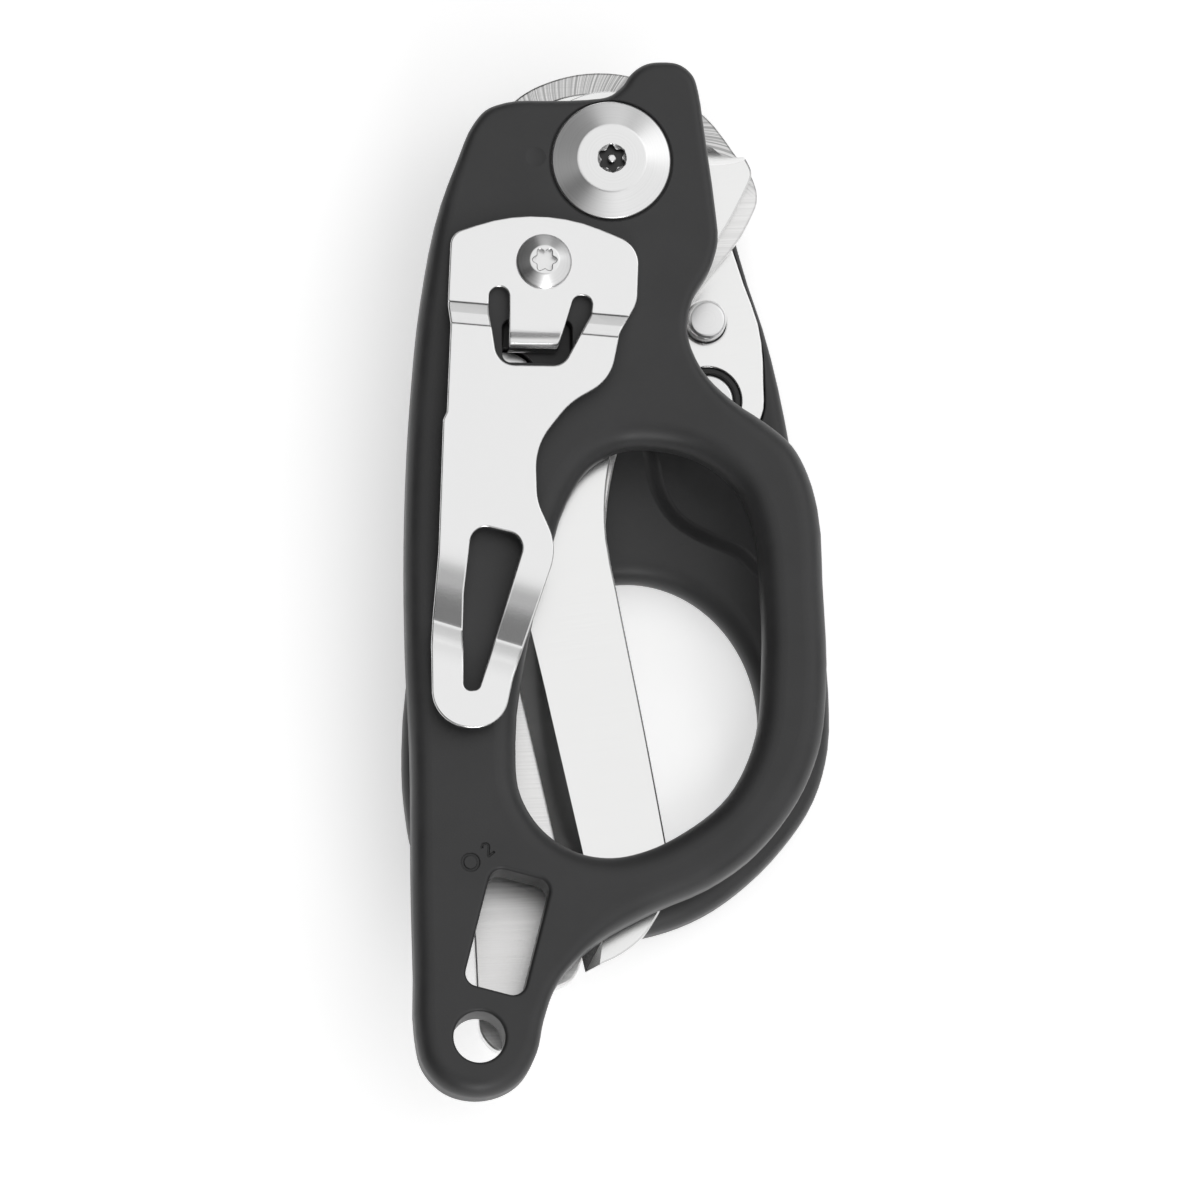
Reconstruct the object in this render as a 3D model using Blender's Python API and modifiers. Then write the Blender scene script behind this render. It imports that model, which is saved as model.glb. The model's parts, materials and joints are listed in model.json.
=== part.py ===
"""Folding trauma shears, folded: two blades and two loop handles on one pivot screw.

The shears lie flat. +Z is the pivot's axis, +Y runs from the loops to the pivot, and the origin is on
the pivot's axis at the back face. Lengths below are in millimetres, and MM turns them into metres.
Each hinge turns about +Z through the origin. Each lock plunger slides along Z.
"""

import math

import bmesh
import bpy
from mathutils import Vector

MM = 0.001
SHARP = True  # marks an outline point where the outline has a corner

# The stack of layers, from the back. The front half mirrors the back half in height about MID.
MID = 9.3
HANDLE = (0.0, 6.0)
PLATE = (5.4, 6.6)
BLADE = (6.9, 9.2)
WASHER = (6.7, 7.3)
WASHER_SEAT = 0.5
MIDDLE_WASHER = (9.0, 9.6)
MIDDLE_SEAT = 0.3
EDGE_ROUND = 1.2

# The pivot
BARREL_R = 4.0
RUNNING_R = 4.1
FLANGE_R = 7.0
FLANGE_T = 1.4
BARREL_TOP = 17.4
BARREL_BORE = (3.1, 3.0)  # radius, and where it starts
SHANK_R = 3.0
HEAD_R = 7.2
HEAD_FLAT_R = 4.1
HEAD_SEAT = 0.5
HEAD_T = 1.85
WASHER_R = (4.15, 5.9)

# Where the mechanism of the rear handle stands. The front handle has it mirrored in X and in height.
STOP_PIN = (12.35, -17.35)
STOP_PIN_R = 2.4
PLUNGER = (12.6, -26.9)
PLUNGER_R = 3.17
PLUNGER_FLANGE_R = 3.85
PLUNGER_POCKET_R = 4.1
PLUNGER_FLOOR = 1.6
RIVETS = ((9.1, 0.3), (2.5, -28.0))
RIVET_R = 1.4
FIT = 0.1  # clearance round a pin or rivet

# The clip
CLIP_SCREW = (-8.2, -12.8)
CLIP_SCREW_R = 3.35
CLIP_T = 1.1
CLIP_GAP = 0.2
CLIP_BENDS = ((8.0, 0.0), (-19.0, 0.0), (-21.2, 1.4), (-52.5, 1.3), (-57.2, 0.1),
              (-58.4, 0.1), (-61.4, 0.9), (-76.0, 1.9))  # height of the strip along its length
CLIP_TILT = 0.11  # the bends run slightly downhill to the right
TONGUE = (-13.4, -4.7, -24.2, -20.9)  # left, right, end and bend line of the tongue
TONGUE_DROP = 1.2
TONGUE_RUN = 2.2

FRONT_OUTLINE = (
    (-12.6, 7.1), (-15.1, 6.1), (-16.6, 4.3), (-18.4, 0.1), (-20.2, -4.8), (-22.7, -17.0), (-23.9, -29.0),
    (-24.65, -47.0), (-24.5, -60.0), (-23.95, -72.0), (-23.75, -90.0), (-23.5, -99.4), (-23.35, -106.7),
    (-22.4, -110.6), (-19.9, -113.3), (-16.0, -114.3), (-11.2, -112.6), (-8.8, -108.8), (-8.0, -105.0),
    (-6.4, -100.5), (-3.0, -96.4), (5.4, -91.1), (12.0, -88.1), (16.6, -84.9), (20.7, -80.4), (23.6, -75.7),
    (25.4, -70.5), (26.1, -64.0), (25.7, -51.0), (25.1, -41.9), (23.9, -37.6), (22.05, -34.2), (18.6, -31.3),
    (15.0, -29.0), (10.8, -24.8), (9.3, -20.8), (9.8, -17.0), (12.2, -12.5), (12.95, -9.5), (12.7, -6.0),
    (11.75, 1.0), (11.1, 5.6), (10.6, 8.8), (9.9, 10.8), (8.4, 12.05), (6.2, 12.35), (4.1, 12.0),
    (2.6, 10.95), (1.4, 9.3), (0.1, 8.2), (-2.8, 7.6), (-7.6, 7.4),
)
FINGER_HOLE = (
    (1.5, -34.9), (6.0, -34.7), (11.5, -36.3), (15.5, -39.8), (17.4, -44.6), (18.2, -52.0), (18.4, -61.0),
    (17.2, -71.2), (14.3, -77.0), (8.9, -81.6), (4.4, -83.9), (0.3, -84.8), (-3.9, -84.2), (-8.0, -81.6),
    (-10.6, -77.6), (-11.3, -71.0), (-10.2, -61.0), (-7.3, -48.5), (-5.2, -41.6), (-2.3, -37.1),
)
REAR_OUTLINE = (
    (0.0, 10.8), (-7.6, 8.2), (-12.2, 2.0), (-14.0, -9.0), (-15.3, -18.0), (-18.9, -38.0), (-22.0, -54.0),
    (-23.5, -62.0), (-24.0, -69.5), (-23.7, -76.5), (-22.0, -83.6), (-16.8, -89.1), (-10.0, -91.9),
    (-2.0, -92.7), (4.8, -92.1), (12.35, -89.3), (17.55, -85.5), (22.0, -80.8), (25.6, -75.2), (27.3, -69.0),
    (27.4, -62.0), (25.1, -46.0), (22.75, -32.0), (21.35, -25.0), (19.4, -17.6), (17.6, -12.4), (15.9, -6.5),
    (13.4, 2.2), (8.3, 8.4),
)
THUMB_HOLE = (3.3, -66.3, 15.6, 17.4)  # centre and half axes of an ellipse
REAR_RECESS = (
    (5.4, -34.0), (5.7, -37.0), (7.0, -40.3), (9.6, -42.9), (15.4, -46.0), (19.2, -48.6), (21.2, -47.6),
    (20.6, -42.0), (19.4, -35.6), (17.4, -34.0), (11.0, -33.4),
)
RECESS_DEPTH = 1.6
PLATE_OUTLINE = (
    (0.0, 9.6), (-6.9, 6.9), (-9.6, 0.0), (-9.3, -8.0), (-7.3, -16.0), (-5.4, -24.0), (-3.4, -29.4),
    (0.4, -31.6), (13.0, -32.0), (17.3, -31.2), (19.1, -28.8), (19.35, -24.5), (18.7, -17.4), (17.0, -12.6),
    (15.0, -6.6), (11.6, 1.2), (7.0, 6.9),
)
FRONT_BLADE_OUTLINE = (
    (-0.6, 9.7), (-6.3, 8.7), (-11.0, 5.6), (-12.9, -1.0), (-11.0, -8.0), (-9.2, -13.2), (-9.0, -18.6),
    (-10.4, -24.4), (-12.8, -31.0), (-14.2, -40.0), (-13.2, -50.0), (-10.1, -64.0), (-6.0, -81.9),
    (-2.4, -97.6, SHARP), (0.9, -96.2), (4.0, -93.9), (6.2, -90.8), (8.0, -86.8, SHARP), (7.2, -82.4),
    (4.6, -68.4), (1.2, -51.3), (0.0, -45.0), (-0.1, -39.5), (0.6, -34.6), (4.4, -25.0), (9.4, -16.0),
    (13.4, -8.3), (16.6, -2.0), (17.3, 0.0), (16.5, 1.9, SHARP), (14.3, 2.0), (12.6, 3.6), (10.1, 6.0),
    (5.1, 8.7),
)
REAR_BLADE_OUTLINE = (
    (0.2, 12.4), (-5.6, 11.4), (-10.7, 8.6), (-14.2, 3.6), (-15.6, -4.0), (-15.2, -15.0), (-16.4, -28.0),
    (-18.3, -40.0), (-19.3, -52.0), (-18.6, -64.0), (-17.0, -80.0), (-15.7, -93.6), (-15.2, -102.0),
    (-14.7, -105.5), (-12.9, -107.3), (-10.2, -107.9), (-7.6, -106.0), (-6.2, -100.6), (-3.6, -98.2),
    (-2.7, -96.0), (-1.8, -80.0), (-0.6, -64.0), (0.0, -50.0), (0.3, -40.0), (1.8, -33.0), (4.8, -27.0),
    (7.9, -21.4), (9.4, -17.6), (11.2, -14.2), (17.4, -5.4), (18.4, -2.6), (17.7, 0.2), (15.6, 3.0),
    (13.2, 6.3), (7.5, 10.7),
)
CLIP_OUTLINE = (
    (-19.35, -9.7, 1.5), (-8.8, -5.7, 21.0), (3.2, -10.7, 2.4), (3.05, -17.6, 4.0), (0.85, -21.6, 2.5),
    (-0.3, -27.3, 3.2), (-5.2, -30.3, 9.0), (-9.3, -35.6, 8.0), (-9.1, -42.4, 7.0), (-6.7, -48.0, 3.0),
    (-12.0, -64.0, 8.0), (-13.3, -70.2, 4.2), (-21.7, -70.2, 4.6), (-21.85, -60.0, 6.0), (-21.0, -49.0, 20.0),
    (-20.45, -32.6, 0.3), (-20.0, -31.6, 0.3), (-19.55, -20.8, 2.0), (-19.8, -18.4, 2.0),
)
CLIP_WINDOW = (
    (-16.95, -45.2, 1.5), (-17.85, -53.5, 8.0), (-17.95, -65.7, 0.85), (-16.15, -65.5, 0.85), (-14.5, -60.3, 6.0),
    (-10.4, -46.7, 1.5),
)
CLIP_SLOT = (
    (-14.75, -15.95, 1.14), (-12.4, -15.95, 1.14), (-12.4, -23.5, 0.15), (-6.5, -23.5, 0.15), (-4.5, -16.8, 1.05),
    (-2.3, -17.0, 1.05), (-2.55, -19.2, 2.0), (-6.0, -25.8, 2.2), (-13.9, -25.8, 2.4), (-14.85, -19.5, 4.0),
)

# The holes of the front handle that nothing else fills
SLOT_CENTRE = (-12.45, -94.4)
SLOT_HALF = (3.7, 7.3)
SLOT_CORNER = 1.6
SLOT_TILT = math.radians(-14)
LANYARD = (-15.8, -107.2)
LANYARD_R = 3.1
TONGUE_RECESS = (-8.9, -22.3, 4.2, 2.6)  # centre and half sizes
TONGUE_RECESS_DEPTH = 1.7
INSERT = (2.6, 13.5, 17.0)  # radius, low and high end of the clip screw's threaded insert


def start():
    """Empty the scene and make the two collections."""
    for old in list(bpy.data.objects):
        bpy.data.objects.remove(old, do_unlink=True)
    made = {}
    for name in ("folding_trauma_shears", "cutters"):
        made[name] = bpy.data.collections.new(name)
        bpy.context.scene.collection.children.link(made[name])
    return made


def material(name, colour, roughness, metallic):
    """A plain Principled material."""
    new = bpy.data.materials.new(name)
    new.use_nodes = True
    shader = new.node_tree.nodes["Principled BSDF"]
    shader.inputs["Base Color"].default_value = (*colour, 1.0)
    shader.inputs["Roughness"].default_value = roughness
    shader.inputs["Metallic"].default_value = metallic
    return new


def smooth(points, turn=15.0):
    """A closed curve through the points, with a point about every `turn` degrees of bend."""
    places = [Vector(p[:2]) for p in points]
    sharp = [len(p) > 2 for p in points]
    count = len(places)
    curve = []
    for i in range(count):
        a, b = places[i], places[(i + 1) % count]
        before, after = places[i - 1], places[(i + 2) % count]
        chord = b - a
        leave = chord if sharp[i] else heading(a - before, chord)
        arrive = chord if sharp[(i + 1) % count] else heading(chord, after - b)
        leave = leave.normalized() * chord.length
        arrive = arrive.normalized() * chord.length
        bend = abs(chord.angle_signed(leave)) + abs(chord.angle_signed(arrive))
        steps = max(1, math.ceil(math.degrees(bend) / turn))
        for k in range(steps):
            t = k / steps
            curve.append(a * (2 * t**3 - 3 * t**2 + 1) + leave * (t**3 - 2 * t**2 + t)
                         + b * (3 * t**2 - 2 * t**3) + arrive * (t**3 - t**2))
    return curve


def cornered(points, turn=18.0):
    """A closed outline of straight sides whose corners, given as x, y and radius, are rounded."""
    places = [Vector(p[:2]) for p in points]
    count = len(places)
    headings = [(places[(i + 1) % count] - places[i]).normalized() for i in range(count)]
    bends = [headings[i - 1].angle_signed(headings[i]) for i in range(count)]
    reaches = [points[i][2] * math.tan(abs(bends[i]) / 2) for i in range(count)]
    room = [(places[(i + 1) % count] - places[i]).length / (reaches[i] + reaches[(i + 1) % count])
            for i in range(count)]
    outline = []
    for i, corner in enumerate(places):
        reach = reaches[i] * min(1.0, 0.98 * room[i - 1], 0.98 * room[i])
        start, end = corner - headings[i - 1] * reach, corner + headings[i] * reach
        steps = max(1, math.ceil(math.degrees(abs(bends[i])) / turn))
        weight = math.cos(bends[i] / 2)
        for k in range(steps + 1):
            t = k / steps
            parts = ((1 - t) ** 2, 2 * t * (1 - t) * weight, t**2)
            outline.append((start * parts[0] + corner * parts[1] + end * parts[2]) / sum(parts))
    return outline


def heading(come, go):
    """The direction of a smooth curve where one chord meets the next: the shorter chord counts more."""
    return come / come.length_squared + go / go.length_squared


def circle(x, y, radius, count=32):
    """A circle as an outline."""
    return ellipse(x, y, radius, radius, count)


def ellipse(x, y, half_x, half_y, count=40):
    """An ellipse as an outline."""
    turns = [math.tau * k / count for k in range(count)]
    return [Vector((x + half_x * math.cos(t), y + half_y * math.sin(t))) for t in turns]


def rounded_box(x, y, half_x, half_y, corner, tilt=0.0, steps=4):
    """A rectangle with round corners as an outline, turned by tilt about its centre."""
    outline = []
    for quarter in range(4):
        side_x = 1 if quarter in (0, 3) else -1
        side_y = 1 if quarter < 2 else -1
        centre = Vector((side_x * (half_x - corner), side_y * (half_y - corner)))
        for k in range(steps + 1):
            turn = math.pi / 2 * (quarter + k / steps)
            spoke = Vector((math.cos(turn), math.sin(turn))) * corner
            outline.append(Vector((x, y)) + rotated(centre + spoke, tilt))
    return outline


def lobed(x, y, radius, lobes=6, depth=0.14, count=36):
    """The outline of a socket with round lobes."""
    outline = []
    for k in range(count):
        turn = math.tau * k / count
        reach = radius * (1 - depth + depth * math.cos(lobes * turn))
        outline.append(Vector((x + reach * math.cos(turn), y + reach * math.sin(turn))))
    return outline


def rotated(point, angle):
    """A 2D point turned about the origin."""
    c, s = math.cos(angle), math.sin(angle)
    return Vector((c * point.x - s * point.y, s * point.x + c * point.y))


def grown(outline, distance):
    """A smooth anticlockwise outline moved outwards."""
    moved = []
    for i, point in enumerate(outline):
        along = outline[(i + 1) % len(outline)] - outline[i - 1]
        moved.append(point + Vector((along.y, -along.x)).normalized() * distance)
    return moved


def mirrored(outline):
    """An outline mirrored in X, still anticlockwise."""
    return [Vector((-p[0], p[1])) for p in reversed(outline)]


def heights(span, front):
    """A pair of heights of the rear half, or the same pair mirrored into the front half."""
    low, high = span
    return (2 * MID - high, 2 * MID - low) if front else (low, high)


def place(point, front):
    """A place in the rear half's plan, or its mirror image in the front half."""
    return (-point[0], point[1]) if front else point


def flat(name, outlines, span, finish, where, edge=0.0):
    """A flat piece between two heights, from an outline and its holes, with edges rounded by `edge`."""
    low, high = span
    data = bpy.data.curves.new(name, "CURVE")
    data.dimensions = "2D"
    data.fill_mode = "BOTH"
    data.extrude = ((high - low) / 2 - edge) * MM
    data.bevel_depth = edge * MM
    data.bevel_resolution = 1
    data.offset = -edge * MM
    for outline in outlines:
        spline = data.splines.new("POLY")
        spline.points.add(len(outline) - 1)
        for target, point in zip(spline.points, outline):
            target.co = (point[0] * MM, point[1] * MM, 0.0, 1.0)
        spline.use_cyclic_u = True
    curve = bpy.data.objects.new(name + "_curve", data)
    curve.location.z = (low + high) / 2 * MM
    where.objects.link(curve)
    return to_mesh(curve, name, finish, where)


def to_mesh(curve, name, finish, where):
    """The curve's solid as a mesh object with welded caps."""
    graph = bpy.context.evaluated_depsgraph_get()
    mesh = bpy.data.meshes.new_from_object(curve.evaluated_get(graph))
    solid = bpy.data.objects.new(name, mesh)
    solid.matrix_world = curve.matrix_world.copy()
    solid.location = curve.location
    where.objects.link(solid)
    bpy.data.objects.remove(curve, do_unlink=True)
    edit = bmesh.new()
    edit.from_mesh(mesh)
    bmesh.ops.remove_doubles(edit, verts=edit.verts, dist=0.002 * MM)
    bmesh.ops.recalc_face_normals(edit, faces=edit.faces)
    edit.to_mesh(mesh)
    edit.free()
    dress(solid, finish)
    return solid


def turned(name, profile, spot, finish, where, front=False, steps=36):
    """A turned piece: the profile, as radius and height, runs down its outer side from the top."""
    if front:
        profile = [(r, 2 * MID - z) for r, z in reversed(profile)]
    x, y = spot
    mesh = bpy.data.meshes.new(name)
    closed = profile[0][0] > 0
    edges = [(i, i + 1) for i in range(len(profile) - 1)]
    if closed:
        edges.append((len(profile) - 1, 0))
    mesh.from_pydata([(r * MM, 0.0, z * MM) for r, z in profile], edges, [])
    solid = bpy.data.objects.new(name, mesh)
    solid.location = (x * MM, y * MM, 0.0)
    where.objects.link(solid)
    screw = solid.modifiers.new("turn", "SCREW")
    screw.steps = steps
    screw.render_steps = steps
    screw.use_merge_vertices = True
    screw.merge_threshold = 0.00001
    dress(solid, finish)
    return solid


def ring(inner, outer, low, high):
    """The profile of a plain ring."""
    return [(outer, high), (outer, low), (inner, low), (inner, high)]


def rod(radius, low, high):
    """The profile of a plain rod."""
    return [(0.0, high), (radius, high), (radius, low), (0.0, low)]


def dress(solid, finish):
    """Give a piece its material, or mark it as a cutter."""
    if finish is None:
        solid.hide_render = True
        solid.display_type = "WIRE"
    else:
        solid.data.materials.append(finish)


def cut(target, cutters):
    """Cut each cutter out of the target."""
    for cutter in cutters:
        change = target.modifiers.new("cut_" + cutter.name, "BOOLEAN")
        change.operation = "DIFFERENCE"
        change.object = cutter


def bore(name, spot, radius, low, high):
    """A round cutter."""
    return turned(name, rod(radius, low, high), spot, None, collections["cutters"])


def half(side):
    """True for the front half."""
    return side == "front"


def handle_cutters(side):
    """What both handles lose: the pivot bore, the plate's pocket and the holes of the mechanism."""
    front = half(side)
    plate = smooth(PLATE_OUTLINE)
    plate = mirrored(plate) if front else plate
    low, high = heights((PLATE[0] - 0.2, HANDLE[1] + 0.5), front)
    cutters = [
        flat(side + "_plate_pocket", [grown(plate, 0.2)], (low, high), None, collections["cutters"]),
        bore(side + "_pivot_bore", (0, 0), RUNNING_R, *heights((-1.0, 7.0), front)),
        bore(side + "_plunger_pocket", place(PLUNGER, front), PLUNGER_POCKET_R,
             *heights((PLUNGER_FLOOR, 7.0), front)),
        bore(side + "_stop_pin_hole", place(STOP_PIN, front), STOP_PIN_R + FIT, *heights((2.4, 7.0), front)),
    ]
    for number, spot in enumerate(RIVETS, 1):
        cutters.append(bore(f"{side}_rivet_hole_{number}", place(spot, front), RIVET_R + FIT,
                            *heights((2.9, 7.0), front)))
    return cutters


def front_handle(plastic, where):
    """The front handle: finger loop, horn, wrench slot, lanyard hole and the seat of the pivot screw."""
    shell = flat("front_handle", [smooth(FRONT_OUTLINE), smooth(FINGER_HOLE)], heights(HANDLE, True),
                 plastic, where, EDGE_ROUND)
    top = 2 * MID
    cutter_box = collections["cutters"]
    slot = rounded_box(*SLOT_CENTRE, *SLOT_HALF, SLOT_CORNER, SLOT_TILT)
    recess = rounded_box(*TONGUE_RECESS, 1.0)
    radius, insert_low, insert_high = INSERT
    cut(shell, handle_cutters("front") + [
        bore("screw_head_seat", (0, 0), HEAD_R + 0.2, top - HEAD_SEAT, top + 1),
        flat("wrench_slot", [slot], (10.0, 20.0), None, cutter_box),
        bore("lanyard_hole", LANYARD, LANYARD_R, 10.0, 20.0),
        flat("tongue_recess", [recess], (top - TONGUE_RECESS_DEPTH, top + 1), None, cutter_box),
        bore("insert_pocket", CLIP_SCREW, radius + FIT, 12.0, insert_high + 0.2),
        bore("clip_screw_hole", CLIP_SCREW, 1.7, 12.0, top + 1),
    ])


def rear_handle(plastic, where):
    """The rear handle: thumb loop, hand recess and the seat of the pivot barrel's flange."""
    shell = flat("rear_handle", [smooth(REAR_OUTLINE), ellipse(*THUMB_HOLE)], HANDLE, plastic, where,
                 EDGE_ROUND)
    recess = flat("hand_recess", [smooth(REAR_RECESS)], (HANDLE[1] - RECESS_DEPTH, 7.0), None,
                  collections["cutters"])
    cut(shell, handle_cutters("rear") + [
        bore("flange_seat", (0, 0), FLANGE_R + 0.25, -1.0, FLANGE_T + 0.2),
        recess,
    ])


def blade(side, outline, steel, where):
    """A blade with its pivot bore and the seats of the washers on both faces."""
    front = half(side)
    low, high = heights(BLADE, front)
    body = flat(side + "_blade", [smooth(outline, 12.0)], (low, high), steel, where)
    seat_low, seat_high = heights((BLADE[0] - 1, BLADE[0] + WASHER_SEAT), front)
    middle_low, middle_high = heights((BLADE[1] - MIDDLE_SEAT, BLADE[1] + 1), front)
    cut(body, [
        bore(side + "_blade_bore", (0, 0), RUNNING_R, 5.0, 14.0),
        bore(side + "_washer_seat", (0, 0), WASHER_R[1] + 0.15, seat_low, seat_high),
        bore(side + "_middle_seat", (0, 0), WASHER_R[1] + 0.15, middle_low, middle_high),
    ])


def mechanism(side, steel, bright, plastic, where):
    """What stands in one handle: lock plate, rivets, stop pin, and the plunger in its bush."""
    front = half(side)
    outline = smooth(PLATE_OUTLINE)
    outline = mirrored(outline) if front else outline
    plate = flat(side + "_lock_plate", [outline], heights(PLATE, front), steel, where)
    cutters = [
        bore(side + "_plate_bore", (0, 0), RUNNING_R, 4.0, 15.0),
        bore(side + "_plate_plunger_hole", place(PLUNGER, front), PLUNGER_POCKET_R, 4.0, 15.0),
        bore(side + "_plate_pin_hole", place(STOP_PIN, front), STOP_PIN_R + FIT, 4.0, 15.0),
    ]
    for number, spot in enumerate(RIVETS, 1):
        spot = place(spot, front)
        cutters.append(bore(f"{side}_plate_rivet_hole_{number}", spot, RIVET_R + FIT, 4.0, 15.0))
        turned(f"{side}_plate_rivet_{number}", rod(RIVET_R, 3.0, PLATE[1]), spot, bright, where, front, 16)
    cut(plate, cutters)
    pin = [(0.0, 9.0), (STOP_PIN_R - 0.3, 9.0), (STOP_PIN_R, 8.7), (STOP_PIN_R, 2.5), (0.0, 2.5)]
    turned(side + "_stop_pin", pin, place(STOP_PIN, front), bright, where, front, 24)
    bush = ring(PLUNGER_R + FIT, PLUNGER_POCKET_R - FIT, 4.5, PLATE[1])
    turned(side + "_plunger_bush", bush, place(PLUNGER, front), plastic, where, front, 28)
    turned(side + "_lock_plunger", plunger_profile(), place(PLUNGER, front), bright, where, front, 28)
    spring(side + "_plunger_spring", front, bright, where)


def plunger_profile():
    """The plunger: a disc on a cup with a flange that the bush holds in, hollow for its spring."""
    top, under_bush, foot = 6.75, 4.35, 3.3
    hollow_r, hollow_top = 2.3, 5.7
    return [(0.0, top), (PLUNGER_R - 0.25, top), (PLUNGER_R, top - 0.25), (PLUNGER_R, under_bush),
            (PLUNGER_FLANGE_R, under_bush), (PLUNGER_FLANGE_R, foot), (hollow_r, foot),
            (hollow_r, hollow_top), (0.0, hollow_top)]


def spring(name, front, steel, where, turns=5, radius=1.7, wire=0.22):
    """A coil spring from the pocket's floor to the plunger's hollow, as a thin wire."""
    low, high = PLUNGER_FLOOR + wire + 0.1, 5.7 - wire - 0.1
    x, y = place(PLUNGER, front)
    count = turns * 9 + 1
    data = bpy.data.curves.new(name, "CURVE")
    data.dimensions = "3D"
    data.bevel_depth = wire * MM
    data.bevel_resolution = 1
    data.use_fill_caps = True
    spline = data.splines.new("POLY")
    spline.points.add(count - 1)
    for k, target in enumerate(spline.points):
        turn = math.tau * turns * k / (count - 1)
        z = low + (high - low) * k / (count - 1)
        z = 2 * MID - z if front else z
        target.co = ((x + radius * math.cos(turn)) * MM, (y + radius * math.sin(turn)) * MM, z * MM, 1.0)
    curve = bpy.data.objects.new(name + "_curve", data)
    where.objects.link(curve)
    to_mesh(curve, name, steel, where)


def pivot(steel, bronze, where):
    """The pivot screw, the barrel it goes into, and the three washers between the layers."""
    top = 2 * MID
    seat = top - HEAD_SEAT + 0.15
    profile = [(0.0, seat + HEAD_T), (HEAD_FLAT_R, seat + HEAD_T), (HEAD_R - 0.15, seat + 0.5),
               (HEAD_R, seat + 0.3), (HEAD_R, seat), (SHANK_R, seat), (SHANK_R, BARREL_BORE[1] + 0.6),
               (0.0, BARREL_BORE[1] + 0.6)]
    screw = turned("pivot_screw", profile, (0, 0), steel, where, steps=48)
    socket = [lobed(0, 0, 1.78), circle(0, 0, 0.46, 12)]
    cut(screw, [flat("security_socket", socket, (seat + HEAD_T - 1.2, 22.0), None, collections["cutters"])])
    bore_r, bore_low = BARREL_BORE
    barrel = [(bore_r, BARREL_TOP), (BARREL_R, BARREL_TOP), (BARREL_R, FLANGE_T), (FLANGE_R, FLANGE_T),
              (FLANGE_R, 0.2), (FLANGE_R - 0.2, 0.0), (0.0, 0.0)]
    barrel = [(0.0, bore_low), (bore_r, bore_low)] + barrel
    turned("pivot_barrel", barrel, (0, 0), steel, where, steps=48)
    turned("rear_pivot_washer", ring(*WASHER_R, *WASHER), (0, 0), bronze, where)
    turned("front_pivot_washer", ring(*WASHER_R, *WASHER), (0, 0), bronze, where, True)
    turned("middle_pivot_washer", ring(*WASHER_R, *MIDDLE_WASHER), (0, 0), bronze, where)


def clip_height(x, y):
    """How far the clip's sheet stands above its flat base at a place."""
    left, right, end, bend = TONGUE
    if left < x < right and end < y < -16.0:
        return -TONGUE_DROP * min(1.0, max(0.0, (bend - y) / TONGUE_RUN))
    along = y + CLIP_TILT * (x + 9.0)
    for (start_y, start_z), (end_y, end_z) in zip(CLIP_BENDS, CLIP_BENDS[1:]):
        if along >= end_y:
            return start_z + (end_z - start_z) * (start_y - along) / (start_y - end_y)
    return CLIP_BENDS[-1][1]


def pocket_clip(steel, where):
    """The clip: a flat sheet with a slot, a window and a screw hole, bent along lines across it."""
    base = 2 * MID + CLIP_GAP
    outlines = [cornered(CLIP_OUTLINE), cornered(CLIP_WINDOW), cornered(CLIP_SLOT),
                circle(*CLIP_SCREW, 1.7, 16)]
    clip = flat("pocket_clip", outlines, (0.0, CLIP_T), steel, where)
    clip.data.transform(clip.matrix_basis)
    clip.location = (0.0, 0.0, 0.0)
    edit = bmesh.new()
    edit.from_mesh(clip.data)
    lines = [(y, CLIP_TILT) for y, _ in CLIP_BENDS[1:-1]]
    lines += [(TONGUE[3], 0.0), (TONGUE[3] - TONGUE_RUN, 0.0)]
    for y, tilt in lines:
        everything = edit.verts[:] + edit.edges[:] + edit.faces[:]
        point = Vector((-9.0 * MM, y * MM, 0.0))
        bmesh.ops.bisect_plane(edit, geom=everything, dist=1e-7, plane_co=point, plane_no=(tilt, 1.0, 0.0))
    for vert in edit.verts:
        vert.co.z += (base + clip_height(vert.co.x / MM, vert.co.y / MM)) * MM
    bmesh.ops.triangulate(edit, faces=edit.faces)
    bmesh.ops.recalc_face_normals(edit, faces=edit.faces)
    edit.to_mesh(clip.data)
    edit.free()


def clip_fastening(steel, bronze, where):
    """The clip screw and the threaded insert in the handle that it goes into."""
    top = 2 * MID + CLIP_GAP + CLIP_T + 0.1
    radius, low, high = INSERT
    profile = [(0.0, top + 1.2), (1.85, top + 1.2), (CLIP_SCREW_R, top + 0.3), (CLIP_SCREW_R, top),
               (1.4, top), (1.4, low + 0.6), (0.0, low + 0.6)]
    screw = turned("clip_screw", profile, CLIP_SCREW, steel, where, steps=32)
    socket = [lobed(*CLIP_SCREW, 1.45)]
    cut(screw, [flat("clip_screw_socket", socket, (top + 0.3, 23.0), None, collections["cutters"])])
    turned("clip_insert", ring(1.5, radius, low, high), CLIP_SCREW, bronze, where, steps=24)


def build():
    """Make every piece."""
    plastic = material("handle_plastic", (0.055, 0.055, 0.058), 0.55, 0.0)
    black = material("bush_plastic", (0.03, 0.03, 0.03), 0.45, 0.0)
    satin = material("satin_steel", (0.78, 0.78, 0.77), 0.32, 1.0)
    ground = material("ground_steel", (0.72, 0.72, 0.72), 0.42, 1.0)
    bright = material("bright_steel", (0.80, 0.80, 0.80), 0.22, 1.0)
    bronze = material("bronze", (0.55, 0.38, 0.20), 0.40, 1.0)
    shears = collections["folding_trauma_shears"]
    rear_handle(plastic, shears)
    front_handle(plastic, shears)
    blade("rear", REAR_BLADE_OUTLINE, ground, shears)
    blade("front", FRONT_BLADE_OUTLINE, satin, shears)
    for side in ("rear", "front"):
        mechanism(side, satin, bright, black, shears)
    pivot(bright, bronze, shears)
    pocket_clip(bright, shears)
    clip_fastening(bright, bronze, shears)


collections = start()
build()
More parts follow.
